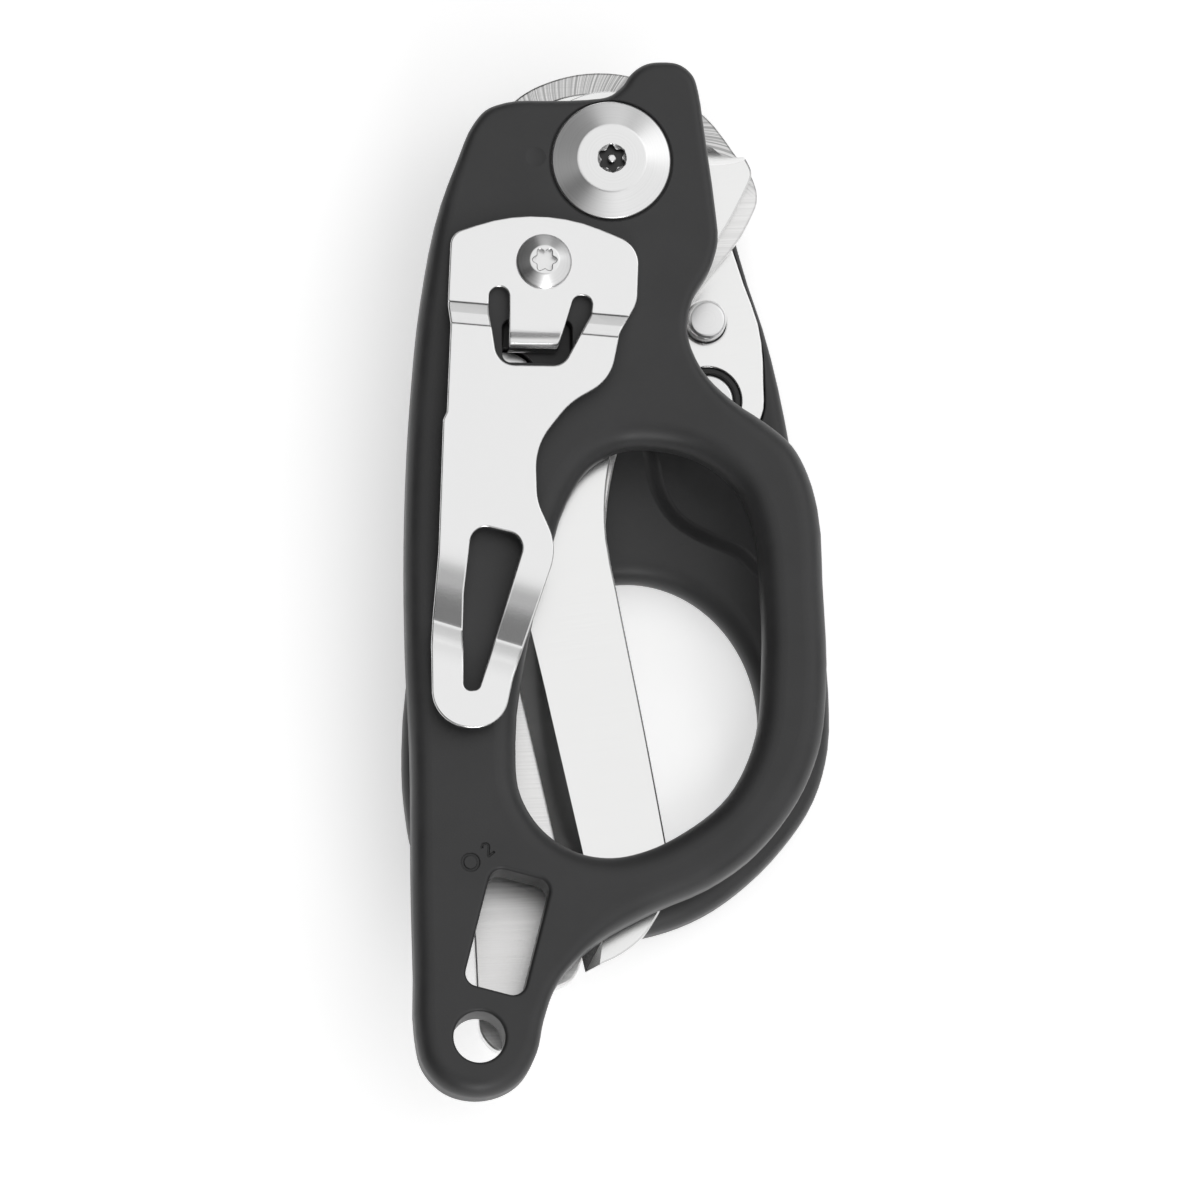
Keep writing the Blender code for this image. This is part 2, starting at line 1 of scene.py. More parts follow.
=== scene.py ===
# %% [markdown]
# # Folding trauma shears, folded flat
#
# Two steel blades and two moulded loop handles share one big pivot screw. Folded, the handles lie over
# the blades, a spring clip stands on the front handle, and a wrench slot shows the rear blade behind it.
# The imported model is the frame: it fixes every size and every pivot. This notebook gives each piece its
# real surface. A piece is raised from a traced outline with bmesh extrudes, cut with Booleans where a
# tool would cut it, and finished with a procedural material.

# %% Load the frame
import json
import math

import bmesh
import bpy
from mathutils import Matrix, Vector
from mathutils.geometry import interpolate_bezier


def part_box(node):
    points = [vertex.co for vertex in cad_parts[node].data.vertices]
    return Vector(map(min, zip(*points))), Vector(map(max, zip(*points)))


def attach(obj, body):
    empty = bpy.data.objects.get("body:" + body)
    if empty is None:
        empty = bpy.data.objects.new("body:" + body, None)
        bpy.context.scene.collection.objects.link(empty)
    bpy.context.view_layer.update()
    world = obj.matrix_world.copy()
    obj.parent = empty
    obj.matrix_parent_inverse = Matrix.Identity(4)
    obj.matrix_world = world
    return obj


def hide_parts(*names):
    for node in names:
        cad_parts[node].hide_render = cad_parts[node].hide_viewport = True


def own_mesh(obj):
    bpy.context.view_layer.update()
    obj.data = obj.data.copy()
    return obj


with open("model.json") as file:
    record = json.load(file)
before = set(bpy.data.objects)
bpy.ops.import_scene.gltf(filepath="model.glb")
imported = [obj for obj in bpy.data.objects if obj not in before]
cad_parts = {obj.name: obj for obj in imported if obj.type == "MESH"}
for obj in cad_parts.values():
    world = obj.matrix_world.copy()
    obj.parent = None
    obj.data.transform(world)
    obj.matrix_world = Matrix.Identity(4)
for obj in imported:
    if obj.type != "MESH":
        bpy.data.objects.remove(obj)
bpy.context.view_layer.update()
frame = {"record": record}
MM = 0.001

# %% [markdown]
# ## Heights and centres from the frame
#
# Every layer of the stack has a lowest and a highest level. Reading them from the frame keeps this script
# right when the design's thicknesses change. All outlines below are in millimetres, as a maker would draw
# them, and MM turns them into Blender's metres.


# %% Levels
def levels(node):
    """The lowest and highest level of a frame node, in mm."""
    low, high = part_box(node)
    return low.z / MM, high.z / MM


def centre(node):
    """The middle of a frame node in plan, in mm."""
    low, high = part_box(node)
    return Vector(((low.x + high.x) / 2 / MM, (low.y + high.y) / 2 / MM))


FRONT_LOW, FRONT_HIGH = levels("front_handle")
REAR_LOW, REAR_HIGH = levels("rear_handle")
MID = (REAR_LOW + FRONT_HIGH) / 2
SCREW_AT = centre("clip_screw")
print("front handle", FRONT_LOW, FRONT_HIGH, "middle", MID, "clip screw", SCREW_AT)

# %% [markdown]
# ## Tracing an outline
#
# A moulded or ground outline is smooth with a few sharp corners. It is drawn here with few points, and a
# Bezier curve runs between each pair: the handles lie along the mean direction of the two chords, and a
# point marked SHARP keeps its corner. Bends get many points and straight stretches few.

# %% The tracing helper
SHARP = True


def lean(come, go):
    """The direction in which a smooth curve passes from one chord to the next."""
    return come / come.length_squared + go / go.length_squared


def around(points):
    """Twice the area inside the points, negative when they run clockwise."""
    pairs = zip(points, points[1:] + points[:1])
    return sum(a[0] * b[1] - b[0] * a[1] for a, b in pairs)


def trace(points, turn=4.0):
    """A closed smooth outline through the points, with a point for about every `turn` degrees of bend."""
    if around(points) < 0:
        points = points[::-1]
    places = [Vector(p[:2]) for p in points]
    sharp = [len(p) > 2 for p in points]
    count = len(places)
    outline = []
    for i in range(count):
        a, b = places[i], places[(i + 1) % count]
        chord = b - a
        leave = chord if sharp[i] else lean(a - places[i - 1], chord)
        arrive = chord if sharp[(i + 1) % count] else lean(chord, places[(i + 2) % count] - b)
        leave = leave.normalized() * chord.length / 3
        arrive = arrive.normalized() * chord.length / 3
        bend = abs(chord.angle_signed(leave)) + abs(chord.angle_signed(arrive))
        steps = max(1, math.ceil(math.degrees(bend) / turn), math.ceil(chord.length / 4.0))
        knots = [Vector((*p, 0.0)) for p in (a, a + leave, b - arrive, b)]
        outline += [p.to_2d() for p in interpolate_bezier(*knots, steps + 1)[:-1]]
    return outline


def cornered(points, turn=6.0):
    """A closed outline of straight sides whose corners, given as x, y and radius, are rounded."""
    if around(points) < 0:
        points = points[::-1]
    places = [Vector(p[:2]) for p in points]
    count = len(places)
    headings = [(places[(i + 1) % count] - places[i]).normalized() for i in range(count)]
    bends = [headings[i - 1].angle_signed(headings[i]) for i in range(count)]
    reaches = [points[i][2] * math.tan(abs(bends[i]) / 2) for i in range(count)]
    room = [(places[(i + 1) % count] - places[i]).length / (reaches[i] + reaches[(i + 1) % count])
            for i in range(count)]
    outline = []
    for i, corner in enumerate(places):
        reach = reaches[i] * min(1.0, 0.98 * room[i - 1], 0.98 * room[i])
        start, end = corner - headings[i - 1] * reach, corner + headings[i] * reach
        steps = max(2, math.ceil(math.degrees(abs(bends[i])) / turn))
        weight = math.cos(bends[i] / 2)
        for k in range(steps + 1):
            t = k / steps
            parts = ((1 - t) ** 2, 2 * t * (1 - t) * weight, t**2)
            outline.append((start * parts[0] + corner * parts[1] + end * parts[2]) / sum(parts))
    return outline


def ellipse(x, y, half_x, half_y, count=96):
    """An ellipse as an outline."""
    turns = [math.tau * k / count for k in range(count)]
    return [Vector((x + half_x * math.cos(t), y + half_y * math.sin(t))) for t in turns]


def disc(spot, radius, count=64):
    """A circle as an outline."""
    return ellipse(spot[0], spot[1], radius, radius, count)


def turned_by(point, angle):
    """A plan point turned about the origin."""
    c, s = math.cos(angle), math.sin(angle)
    return Vector((c * point.x - s * point.y, s * point.x + c * point.y))


def round_box(spot, half_x, half_y, corner, tilt=0.0, steps=10):
    """A rectangle with round corners, turned by tilt about its middle."""
    outline = []
    for quarter in range(4):
        side = Vector((1 if quarter in (0, 3) else -1, 1 if quarter < 2 else -1))
        hub = Vector((side.x * (half_x - corner), side.y * (half_y - corner)))
        for k in range(steps + 1):
            turn = math.pi / 2 * (quarter + k / steps)
            reach = Vector((math.cos(turn), math.sin(turn))) * corner
            outline.append(Vector(spot) + turned_by(hub + reach, tilt))
    return outline


def flipped(outline):
    """The mirror image of an outline in X, still anticlockwise."""
    return [Vector((-p.x, p.y)) for p in reversed(outline)]


def outwards(outline):
    """The outward normal at each point of an anticlockwise outline."""
    normals = []
    for i, point in enumerate(outline):
        come = (point - outline[i - 1]).normalized()
        go = (outline[(i + 1) % len(outline)] - point).normalized()
        along = (come + go).normalized()
        miter = 1.0 / max(0.6, along.dot(go))
        normals.append(Vector((along.y, -along.x)) * miter)
    return normals


def grown(outline, distance):
    """An outline moved outwards."""
    return [p + n * distance for p, n in zip(outline, outwards(outline))]


# %% [markdown]
# ## Raising a moulded body
#
# A moulded handle is one wall between two faces, with a generous radius where wall and face meet. The wall
# is raised ring by ring: each extrude of the outline's edges gives the next ring, and the ring is then
# moved inwards and up along a quarter circle. That gives a radius that can change along the outline,
# which a Bevel can't do as simply. Both faces are then filled between the rings, holes left open.


# %% The raising helper
def fillet_stations(low, high, low_round, high_round, steps):
    """Pairs of inset and height up a wall with a quarter round at each end, and a flat rim at each end."""
    rim = 0.12
    stations = [(low_round + rim, low)]
    for k in range(steps + 1):
        a = math.pi / 2 * k / steps
        stations.append((low_round * (1 - math.sin(a)), low + low_round * (1 - math.cos(a))))
    for k in range(steps + 1):
        a = math.pi / 2 * k / steps
        stations.append((high_round * (1 - math.cos(a)), high - high_round * (1 - math.sin(a))))
    stations.append((high_round + rim, high))
    return stations


def raise_wall(bm, outline, station_lists, hole):
    """One closed wall: a ring of edges extruded through its stations. Gives its lowest and highest ring."""
    spot = bm.verts.layers.int["spot"]
    side = 1.0 if hole else -1.0
    normals = outwards(outline)
    ring = []
    for i, (point, normal) in enumerate(zip(outline, normals)):
        inset, height = station_lists[i][0]
        place = point + normal * inset * side
        vert = bm.verts.new((place.x * MM, place.y * MM, height * MM))
        vert[spot] = i
        ring.append(vert)
    edges = [bm.edges.new((ring[i], ring[(i + 1) % len(ring)])) for i in range(len(ring))]
    first = edges
    for level in range(1, len(station_lists[0])):
        made = bmesh.ops.extrude_edge_only(bm, edges=edges)["geom"]
        edges = []
        for item in made:
            if isinstance(item, bmesh.types.BMVert):
                i = item[spot]
                inset, height = station_lists[i][level]
                place = outline[i] + normals[i] * inset * side
                item.co = (place.x * MM, place.y * MM, height * MM)
            elif isinstance(item, bmesh.types.BMEdge):
                edges.append(item)
        edges = [e for e in edges if len(e.link_faces) == 1]
    return first, edges


def walled(name, outlines, station_lists, sharp=35.0):
    """A body from its walls, the outer one first and then the holes, with both ends filled between them."""
    bm = bmesh.new()
    bm.verts.layers.int.new("spot")
    walls = [raise_wall(bm, outline, stations, number > 0)
             for number, (outline, stations) in enumerate(zip(outlines, station_lists))]
    for end in (0, 1):
        bmesh.ops.triangle_fill(bm, use_beauty=True, edges=[e for wall in walls for e in wall[end]])
    return finished(name, bm, sharp)


def raised(name, outer, holes, low, high, outer_round, hole_rounds=(), steps=8):
    """A body between two levels. outer_round gives (low, high) radii, all round or for each point."""
    outlines = [outer, *holes]
    station_lists = []
    for outline, rounds in zip(outlines, [outer_round, *hole_rounds]):
        radii = [rounds(point) if callable(rounds) else rounds for point in outline]
        station_lists.append([fillet_stations(low, high, *pair, steps) for pair in radii])
    return walled(name, outlines, station_lists)


def finished(name, bm, sharp=35.0):
    """Weld a bmesh, turn its faces out, and make it a smooth-shaded object with sharp creases kept."""
    bmesh.ops.remove_doubles(bm, verts=bm.verts, dist=1e-7)
    bmesh.ops.recalc_face_normals(bm, faces=bm.faces)
    mesh = bpy.data.meshes.new(name)
    bm.to_mesh(mesh)
    bm.free()
    mesh.shade_smooth()
    mesh.set_sharp_from_angle(angle=math.radians(sharp))
    piece = bpy.data.objects.new(name, mesh)
    bpy.context.scene.collection.objects.link(piece)
    return piece


# %% [markdown]
# ## Turned pieces
#
# Screws, pins, rings and plungers come off a lathe, so a half profile is spun once round its axis.
# The profile's own corners get small arcs, because no turned edge is ever perfectly sharp.


# %% The spinning helper
def softened(profile, radius=0.12, steps=3):
    """A profile whose inner points, away from the axis, are cut back to small arcs."""
    soft = [Vector(profile[0])]
    for before, here, after in zip(profile, profile[1:], profile[2:]):
        before, here, after = Vector(before), Vector(here), Vector(after)
        reach = min(radius, (before - here).length * 0.45, (after - here).length * 0.45)
        start = here + (before - here).normalized() * reach
        end = here + (after - here).normalized() * reach
        for k in range(steps + 1):
            t = k / steps
            soft.append(start * (1 - t) ** 2 + here * 2 * t * (1 - t) + end * t**2)
    soft.append(Vector(profile[-1]))
    return soft


def spun(name, profile, spot, closed=False, steps=96):
    """A body of revolution about a vertical axis through spot, from a profile of radius and height."""
    bm = bmesh.new()
    verts = [bm.verts.new((p[0] * MM, 0.0, p[1] * MM)) for p in profile]
    pairs = list(zip(verts, verts[1:]))
    if closed:
        pairs.append((verts[-1], verts[0]))
    edges = [bm.edges.new(pair) for pair in pairs]
    bmesh.ops.spin(bm, geom=verts + edges, cent=(0, 0, 0), axis=(0, 0, 1), angle=math.tau, steps=steps,
                   use_merge=True, use_duplicate=False)
    bmesh.ops.translate(bm, verts=bm.verts, vec=(spot[0] * MM, spot[1] * MM, 0.0))
    return finished(name, bm, 30.0)


# %% [markdown]
# ## Cutting
#
# Pockets, seats and engraved marks are cut with exact Booleans. The cutter is thrown away and the result
# is kept as a plain mesh, so no live Boolean is left on the piece.


# %% The cutting helper
def cut(piece, cutters, sharp=35.0):
    """Cut every cutter out of the piece, then keep the result as its mesh."""
    for cutter in cutters:
        change = piece.modifiers.new("cut", "BOOLEAN")
        change.operation = "DIFFERENCE"
        change.solver = "EXACT"
        change.object = cutter
    graph = bpy.context.evaluated_depsgraph_get()
    mesh = bpy.data.meshes.new_from_object(piece.evaluated_get(graph))
    piece.modifiers.clear()
    piece.data = mesh
    mesh.name = piece.name
    bm = bmesh.new()
    bm.from_mesh(mesh)
    bmesh.ops.remove_doubles(bm, verts=bm.verts, dist=2e-7)
    bmesh.ops.dissolve_degenerate(bm, edges=bm.edges, dist=1e-7)
    bm.to_mesh(mesh)
    bm.free()
    mesh.shade_smooth()
    mesh.set_sharp_from_angle(angle=math.radians(sharp))
    for cutter in cutters:
        bpy.data.objects.remove(cutter, do_unlink=True)
    return piece


def drum(spot, radius, low, high, flare=0.0):
    """A round cutter from its blind end to its mouth, flared there to leave a small chamfer."""
    up = 1.0 if high > low else -1.0
    wide = radius + flare
    profile = [(0.0, low), (radius, low), (radius, high - up * flare), (wide, high), (wide, high + up),
               (0.0, high + up)]
    return spun("cutter", profile, spot)


def well(outline, floor, mouth, floor_round, mouth_round, steps=6):
    """A pocket's cutter, with a round along its floor and another at its mouth."""
    up = 1.0 if mouth > floor else -1.0
    stations = []
    for k in range(steps + 1):
        a = math.pi / 2 * k / steps
        stations.append((floor_round * (1 - math.sin(a)), floor + up * floor_round * (1 - math.cos(a))))
    for k in range(steps + 1):
        a = math.pi / 2 * k / steps
        stations.append((-mouth_round * (1 - math.cos(a)), mouth - up * mouth_round * (1 - math.sin(a))))
    stations.append((-mouth_round, mouth + up * 1.0))
    return walled("cutter", [outline], [[stations] * len(outline)])


# %% [markdown]
# ## Finishes as node groups
#
# A finish is a pattern of small height and tone changes. Each pattern is a shader node group with named
# inputs and outputs, built once and placed in the materials with their own values. A group puts out masks
# and heights only, because the Principled shader and its plain numbers have to stay in the material itself.


# %% Node helpers
def group(name, inputs, outputs):
    """A new node group with its sockets, and its input and output nodes."""
    tree = bpy.data.node_groups.new(name, "ShaderNodeTree")
    for label, kind, value in inputs:
        socket = tree.interface.new_socket(label, in_out="INPUT", socket_type=kind)
        if value is not None:
            socket.default_value = value
    for label in outputs:
        tree.interface.new_socket(label, in_out="OUTPUT", socket_type="NodeSocketFloat")
    return tree, tree.nodes.new("NodeGroupInput"), tree.nodes.new("NodeGroupOutput")


def add(tree, kind, links=(), **values):
    """A node with some of its settings, and the links that come into it."""
    node = tree.nodes.new(kind)
    for key, value in values.items():
        setattr(node, key, value)
    for socket, source in links:
        if isinstance(source, bpy.types.NodeSocket):
            tree.links.new(source, node.inputs[socket])
        else:
            node.inputs[socket].default_value = source
    return node


def remap(tree, source, low, high, to_low, to_high):
    """A value brought from one range to another, smoothly and within its limits."""
    links = ((0, source), (1, low), (2, high), (3, to_low), (4, to_high))
    return add(tree, "ShaderNodeMapRange", links, interpolation_type="SMOOTHSTEP").outputs[0]


def from_axis(tree, vector):
    """The distance of a place from the vertical axis through the origin, and the place's own X, Y and Z."""
    split = add(tree, "ShaderNodeSeparateXYZ", ((0, vector),)).outputs
    plan = add(tree, "ShaderNodeCombineXYZ", ((0, split[0]), (1, split[1])))
    reach = add(tree, "ShaderNodeVectorMath", ((0, plan.outputs[0]),), operation="LENGTH")
    return reach.outputs["Value"], split


# %% Moulded grain: what spark-eroded mould walls leave on a nylon part
grain_tree, grain_in, grain_out = group(
    "moulded_grain", (("Vector", "NodeSocketVector", None), ("Grain per m", "NodeSocketFloat", 4000.0)),
    ("Height", "Cloud"))
fine = add(grain_tree, "ShaderNodeTexNoise",
           (("Vector", grain_in.outputs[0]), ("Scale", grain_in.outputs[1]), ("Detail", 2.0)))
cloud = add(grain_tree, "ShaderNodeTexNoise",
            (("Vector", grain_in.outputs[0]), ("Scale", 110.0), ("Detail", 4.0), ("Roughness", 0.6)))
grain_tree.links.new(remap(grain_tree, fine.outputs[0], 0.3, 0.7, 0.0, 1.0), grain_out.inputs["Height"])
grain_tree.links.new(remap(grain_tree, cloud.outputs[0], 0.3, 0.7, 0.0, 1.0), grain_out.inputs["Cloud"])
print("moulded grain:", len(grain_tree.nodes), "nodes")

# %% Grinding lines: the marks of a belt or wheel, long one way and fine the other
lines_tree, lines_in, lines_out = group(
    "grinding_lines", (("Vector", "NodeSocketVector", None), ("Lines per m", "NodeSocketFloat", 2500.0),
                       ("Streak per m", "NodeSocketFloat", 30.0)), ("Height", "Tone"))
stretch = add(lines_tree, "ShaderNodeCombineXYZ",
              ((0, lines_in.outputs[2]), (1, lines_in.outputs[1]), (2, 100.0)))
stretched = add(lines_tree, "ShaderNodeVectorMath",
                ((0, lines_in.outputs[0]), (1, stretch.outputs[0])), operation="MULTIPLY")
coarse = add(lines_tree, "ShaderNodeTexNoise",
             (("Vector", stretched.outputs[0]), ("Scale", 1.0), ("Detail", 3.0), ("Roughness", 0.7)))
hair = add(lines_tree, "ShaderNodeTexNoise",
           (("Vector", stretched.outputs[0]), ("Scale", 3.7), ("Detail", 2.0), ("Roughness", 0.6)))
both = add(lines_tree, "ShaderNodeMath", ((0, coarse.outputs[0]), (1, hair.outputs[0])), operation="ADD")
lines_tree.links.new(remap(lines_tree, both.outputs[0], 0.6, 1.4, 0.0, 1.0), lines_out.inputs["Height"])
lines_tree.links.new(remap(lines_tree, coarse.outputs[0], 0.3, 0.7, 0.0, 1.0), lines_out.inputs["Tone"])
print("grinding lines:", len(lines_tree.nodes), "nodes")

# %% Turned rings: the same marks, but round an axis, as a lathe tool leaves them
rings_tree, rings_in, rings_out = group(
    "turned_rings", (("Vector", "NodeSocketVector", None), ("Rings per m", "NodeSocketFloat", 3500.0)),
    ("Height", "Tone"))
reach, _ = from_axis(rings_tree, rings_in.outputs[0])
count = add(rings_tree, "ShaderNodeMath", ((0, reach), (1, rings_in.outputs[1])), operation="MULTIPLY")
ringed = add(rings_tree, "ShaderNodeTexNoise", (("W", count.outputs[0]), ("Scale", 1.0), ("Detail", 3.0)),
             noise_dimensions="1D")
rings_tree.links.new(remap(rings_tree, ringed.outputs[0], 0.3, 0.7, 0.0, 1.0), rings_out.inputs["Height"])
rings_tree.links.new(remap(rings_tree, ringed.outputs[0], 0.25, 0.75, 0.0, 1.0), rings_out.inputs["Tone"])
print("turned rings:", len(rings_tree.nodes), "nodes")

# %% [markdown]
# ## The materials
#
# Each finish of the real shears is one material. Object coordinates are used, so a pattern keeps its size in
# millimetres on every piece. A Mapping node turns the grinding lines to the way the piece was ground, or
# sets the turned rings on the piece's own axis. Two finishes get more on top: the pivot screw's socket gets
# painted shade, a near-black colour inside the recess, and the rear blade's rim shows the marks of a narrow
# wheel.


# %% A finish is built in one way: base colours, two roughness values, and a bump
def finish_material(name, colours, roughness, metallic, bump, pattern, spot=(0, 0), turn=0.0, extra=()):
    """A Principled material whose colour, roughness and bump follow one pattern group."""
    made = bpy.data.materials.new(name)
    made.use_nodes = True
    tree = made.node_tree
    shader = tree.nodes["Principled BSDF"]
    shader.inputs["Metallic"].default_value = metallic
    coords = add(tree, "ShaderNodeTexCoord")
    place = add(tree, "ShaderNodeMapping", (("Vector", coords.outputs["Object"]),), vector_type="TEXTURE")
    place.inputs["Location"].default_value = (spot[0] * MM, spot[1] * MM, 0.0)
    place.inputs["Rotation"].default_value = (0.0, 0.0, turn)
    made_group = add(tree, "ShaderNodeGroup", node_tree=pattern[0])
    tree.links.new(place.outputs[0], made_group.inputs["Vector"])
    for label, value in pattern[1].items():
        made_group.inputs[label].default_value = value
    height, tone = made_group.outputs[0], made_group.outputs[1]
    colour = add(tree, "ShaderNodeMix", data_type="RGBA")
    tree.links.new(tone, colour.inputs[0])
    colour.inputs[6].default_value = (*colours[0], 1.0)
    colour.inputs[7].default_value = (*colours[1], 1.0)
    tree.links.new(colour.outputs[2], shader.inputs["Base Color"])
    tree.links.new(remap(tree, tone, 0.0, 1.0, *roughness), shader.inputs["Roughness"])
    bumps = add(tree, "ShaderNodeBump", (("Height", height), ("Distance", bump * MM), ("Strength", 1.0)))
    tree.links.new(bumps.outputs[0], shader.inputs["Normal"])
    for label, value in extra:
        shader.inputs[label].default_value = value
    return made


GREY = (1.0, 1.0, 1.0)


def shade(low, high, tint=GREY):
    """Two tones of one colour."""
    return tuple(tuple(level * c for c in tint) for level in (low, high))


# %% The materials themselves
LINES = {"Lines per m": 3600.0, "Streak per m": 30.0}
FINE_LINES = {"Lines per m": 9000.0, "Streak per m": 120.0}
PLAIN = {"Lines per m": 6000.0, "Streak per m": 6000.0}
COOL_BLACK, BRONZE_TINT = (1, 1, 1.02), (0.6, 0.4, 0.2)
STEEL_TINT, WARM_STEEL = (1, 1, 0.995), (1, 0.995, 0.99)
handle_plastic = finish_material(
    "handle_plastic", shade(0.035, 0.043, COOL_BLACK), (0.40, 0.48), 0.0, 0.004,
    (grain_tree, {"Grain per m": 3800.0}), extra=(("Specular IOR Level", 0.38),))
bush_plastic = finish_material(
    "bush_plastic", shade(0.012, 0.018), (0.4, 0.5), 0.0, 0.003, (grain_tree, {"Grain per m": 6000.0}))
satin_steel = finish_material(
    "satin_steel", shade(0.84, 0.86, STEEL_TINT), (0.19, 0.21), 1.0, 0.00004, (lines_tree, FINE_LINES),
    turn=math.radians(10))
ground_steel = finish_material(
    "ground_steel", shade(0.76, 0.90, WARM_STEEL), (0.30, 0.38), 1.0, 0.002, (lines_tree, LINES),
    turn=math.radians(3))
clip_steel = finish_material("clip_steel", shade(0.80, 0.84), (0.16, 0.22), 1.0, 0.0004, (lines_tree, PLAIN))
bronze = finish_material(
    "bronze", shade(0.8, 1.0, BRONZE_TINT), (0.34, 0.42), 1.0, 0.002, (rings_tree, {"Rings per m": 5000.0}))


def painted_over(material, share, colour):
    """Mix a plain colour over a material's own base colour, as far as share says."""
    tree = material.node_tree
    socket = tree.nodes["Principled BSDF"].inputs["Base Color"]
    mixed = add(tree, "ShaderNodeMix", data_type="RGBA")
    tree.links.new(share, mixed.inputs[0])
    tree.links.new(socket.links[0].from_socket, mixed.inputs[6])
    mixed.inputs[7].default_value = (*colour, 1.0)
    tree.links.new(mixed.outputs[2], socket)


def turned_steel(name, spot, socket=None):
    """Bright turned steel with its rings round one spot. A socket, as radius and level, gets painted shade,
    near-black inside.
    """
    made = finish_material(name, shade(0.81, 0.85), (0.29, 0.33), 1.0, 0.00015,
                           (rings_tree, {"Rings per m": 5200.0}), spot=spot)
    if socket is None:
        return made
    radius, level = socket
    tree = made.node_tree
    coords = add(tree, "ShaderNodeTexCoord").outputs["Object"]
    hub = (spot[0] * MM, spot[1] * MM, 0.0)
    away = add(tree, "ShaderNodeVectorMath", ((0, coords), (1, hub)), operation="SUBTRACT")
    reach, place = from_axis(tree, away.outputs[0])
    near = remap(tree, reach, radius * MM, (radius + 0.04) * MM, 1.0, 0.0)
    deep = remap(tree, place[2], (level - 0.5) * MM, (level - 0.38) * MM, 1.0, 0.0)
    inside = add(tree, "ShaderNodeMath", ((0, near), (1, deep)), operation="MULTIPLY")
    # Painted shade: the inside of the socket recess is coloured near-black, standing in for the shade that
    # falls there.
    painted_over(made, inside.outputs[0], (0.05, 0.05, 0.05))
    return made


def rim_marks(material):
    """Short wheel marks that point at the pivot, on the rim round the blade's top."""
    tree = material.node_tree
    reach, place = from_axis(tree, add(tree, "ShaderNodeTexCoord").outputs["Object"])
    turn = add(tree, "ShaderNodeMath", ((0, place[1]), (1, place[0])), operation="ARCTAN2")
    bent = add(tree, "ShaderNodeMath", ((0, reach), (1, 40.0), (2, turn.outputs[0])),
               operation="MULTIPLY_ADD")
    marks = add(tree, "ShaderNodeTexNoise",
                (("W", bent.outputs[0]), ("Scale", 42.0), ("Detail", 3.0), ("Roughness", 0.7)),
                noise_dimensions="1D")
    depth = remap(tree, marks.outputs[0], 0.4, 0.62, 0.15, 0.9)
    top = remap(tree, place[1], -3.0 * MM, 1.0 * MM, 0.0, 1.0)
    rim = remap(tree, reach, 8.0 * MM, 10.0 * MM, 0.0, 1.0)
    where = add(tree, "ShaderNodeMath", ((0, top), (1, rim)), operation="MULTIPLY")
    share = add(tree, "ShaderNodeMath", ((0, where.outputs[0]), (1, depth)), operation="MULTIPLY")
    painted_over(material, share.outputs[0], (0.34, 0.34, 0.34))


rim_marks(ground_steel)
print("finishes:", sorted(m.name for m in bpy.data.materials if m.users == 0))

# %% [markdown]
# ## Taking a place in the model
#
# Each finished piece rides on the same body as the plain solid it stands for, so it moves with it. It takes
# the material it is given, and hides that solid. One function does all of this for every piece.

# %% Dressing a piece
BODY_OF = {}
for body_name, members in frame["record"]["behaviour"]["bodies"].items():
    for member in members:
        BODY_OF[member] = body_name


def stand_in(piece, node, material):
    """Finish a piece: its material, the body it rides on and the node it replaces."""
    piece.data.materials.clear()
    piece.data.materials.append(material)
    if len(piece.data.polygons) > 1 and any(p.material_index for p in piece.data.polygons):
        piece.data.polygons.foreach_set("material_index", [0] * len(piece.data.polygons))
    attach(piece, BODY_OF[node])
    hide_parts(node)
    print(piece.name, len(piece.data.vertices), "vertices on", BODY_OF[node])


def even_shading(piece):
    """Let the large flat faces decide the shading where a small round meets them."""
    even = piece.modifiers.new("even_shading", "WEIGHTED_NORMAL")
    even.keep_sharp = True
    even.weight = 60


# %% [markdown]
# ## The lock in each handle
#
# A steel plate is riveted over each handle's inner face. It carries a fixed stop pin and a spring plunger in
# a black bush. The front half mirrors the rear one in plan and in height, so the places below are given for
# the rear half, and two small helpers turn them round. The coil spring is a small circle spun round its axis
# while it climbs.

# %% Places of the lock's parts
STOP_PIN, STOP_PIN_R = (12.35, -17.35), 2.4
PLUNGER, PLUNGER_R = (12.6, -26.9), 3.17
POCKET_R, RIVET_R, FIT = 4.1, 1.4, 0.1
RIVETS = ((9.1, 0.3), (2.5, -28.0))
BORE_R = 4.1
PLATE_OUTLINE = (
    (0.0, 9.6), (-6.9, 6.9), (-9.6, 0.0), (-9.3, -8.0), (-7.3, -16.0), (-5.4, -24.0), (-3.4, -29.4),
    (0.4, -31.6), (13.0, -32.0), (17.3, -31.2), (19.1, -28.8), (19.35, -24.5), (18.7, -17.4), (17.0, -12.6),
    (15.0, -6.6), (11.6, 1.2), (7.0, 6.9),
)


def spot_in(side, point):
    """A place of the rear half, or its mirror image in the front half."""
    return (-point[0], point[1]) if side == "front" else point


def height_in(side, height):
    """A height of the rear half, or its mirror image in the front half."""
    return 2 * MID - height if side == "front" else height


def lathe(name, side, profile, spot, closed=False):
    """A turned piece of the lock, given for the rear half."""
    return spun(name, [(r, height_in(side, z)) for r, z in profile], spot_in(side, spot), closed)


def lock_cutters(side):
    """What a handle loses to its lock: the plate's pocket, the bore and the holes under the plate."""
    outline = trace(PLATE_OUTLINE, 8.0)
    outline = flipped(outline) if side == "front" else outline
    floor, mouth = height_in(side, 5.2), height_in(side, 6.0)
    cutters = [well(grown(outline, 0.2), floor, mouth, 0.15, 0.25)]
    holes = [((0, 0), BORE_R, -1.0), (PLUNGER, POCKET_R, 1.6), (STOP_PIN, STOP_PIN_R + FIT, 2.4)]
    holes += [(spot, RIVET_R + FIT, 2.9) for spot in RIVETS]
    for spot, radius, low in holes:
        profile = [(0.0, low), (radius, low), (radius, 7.0), (0.0, 7.0)]
        cutters.append(lathe("cutter", side, profile, spot))
    return cutters


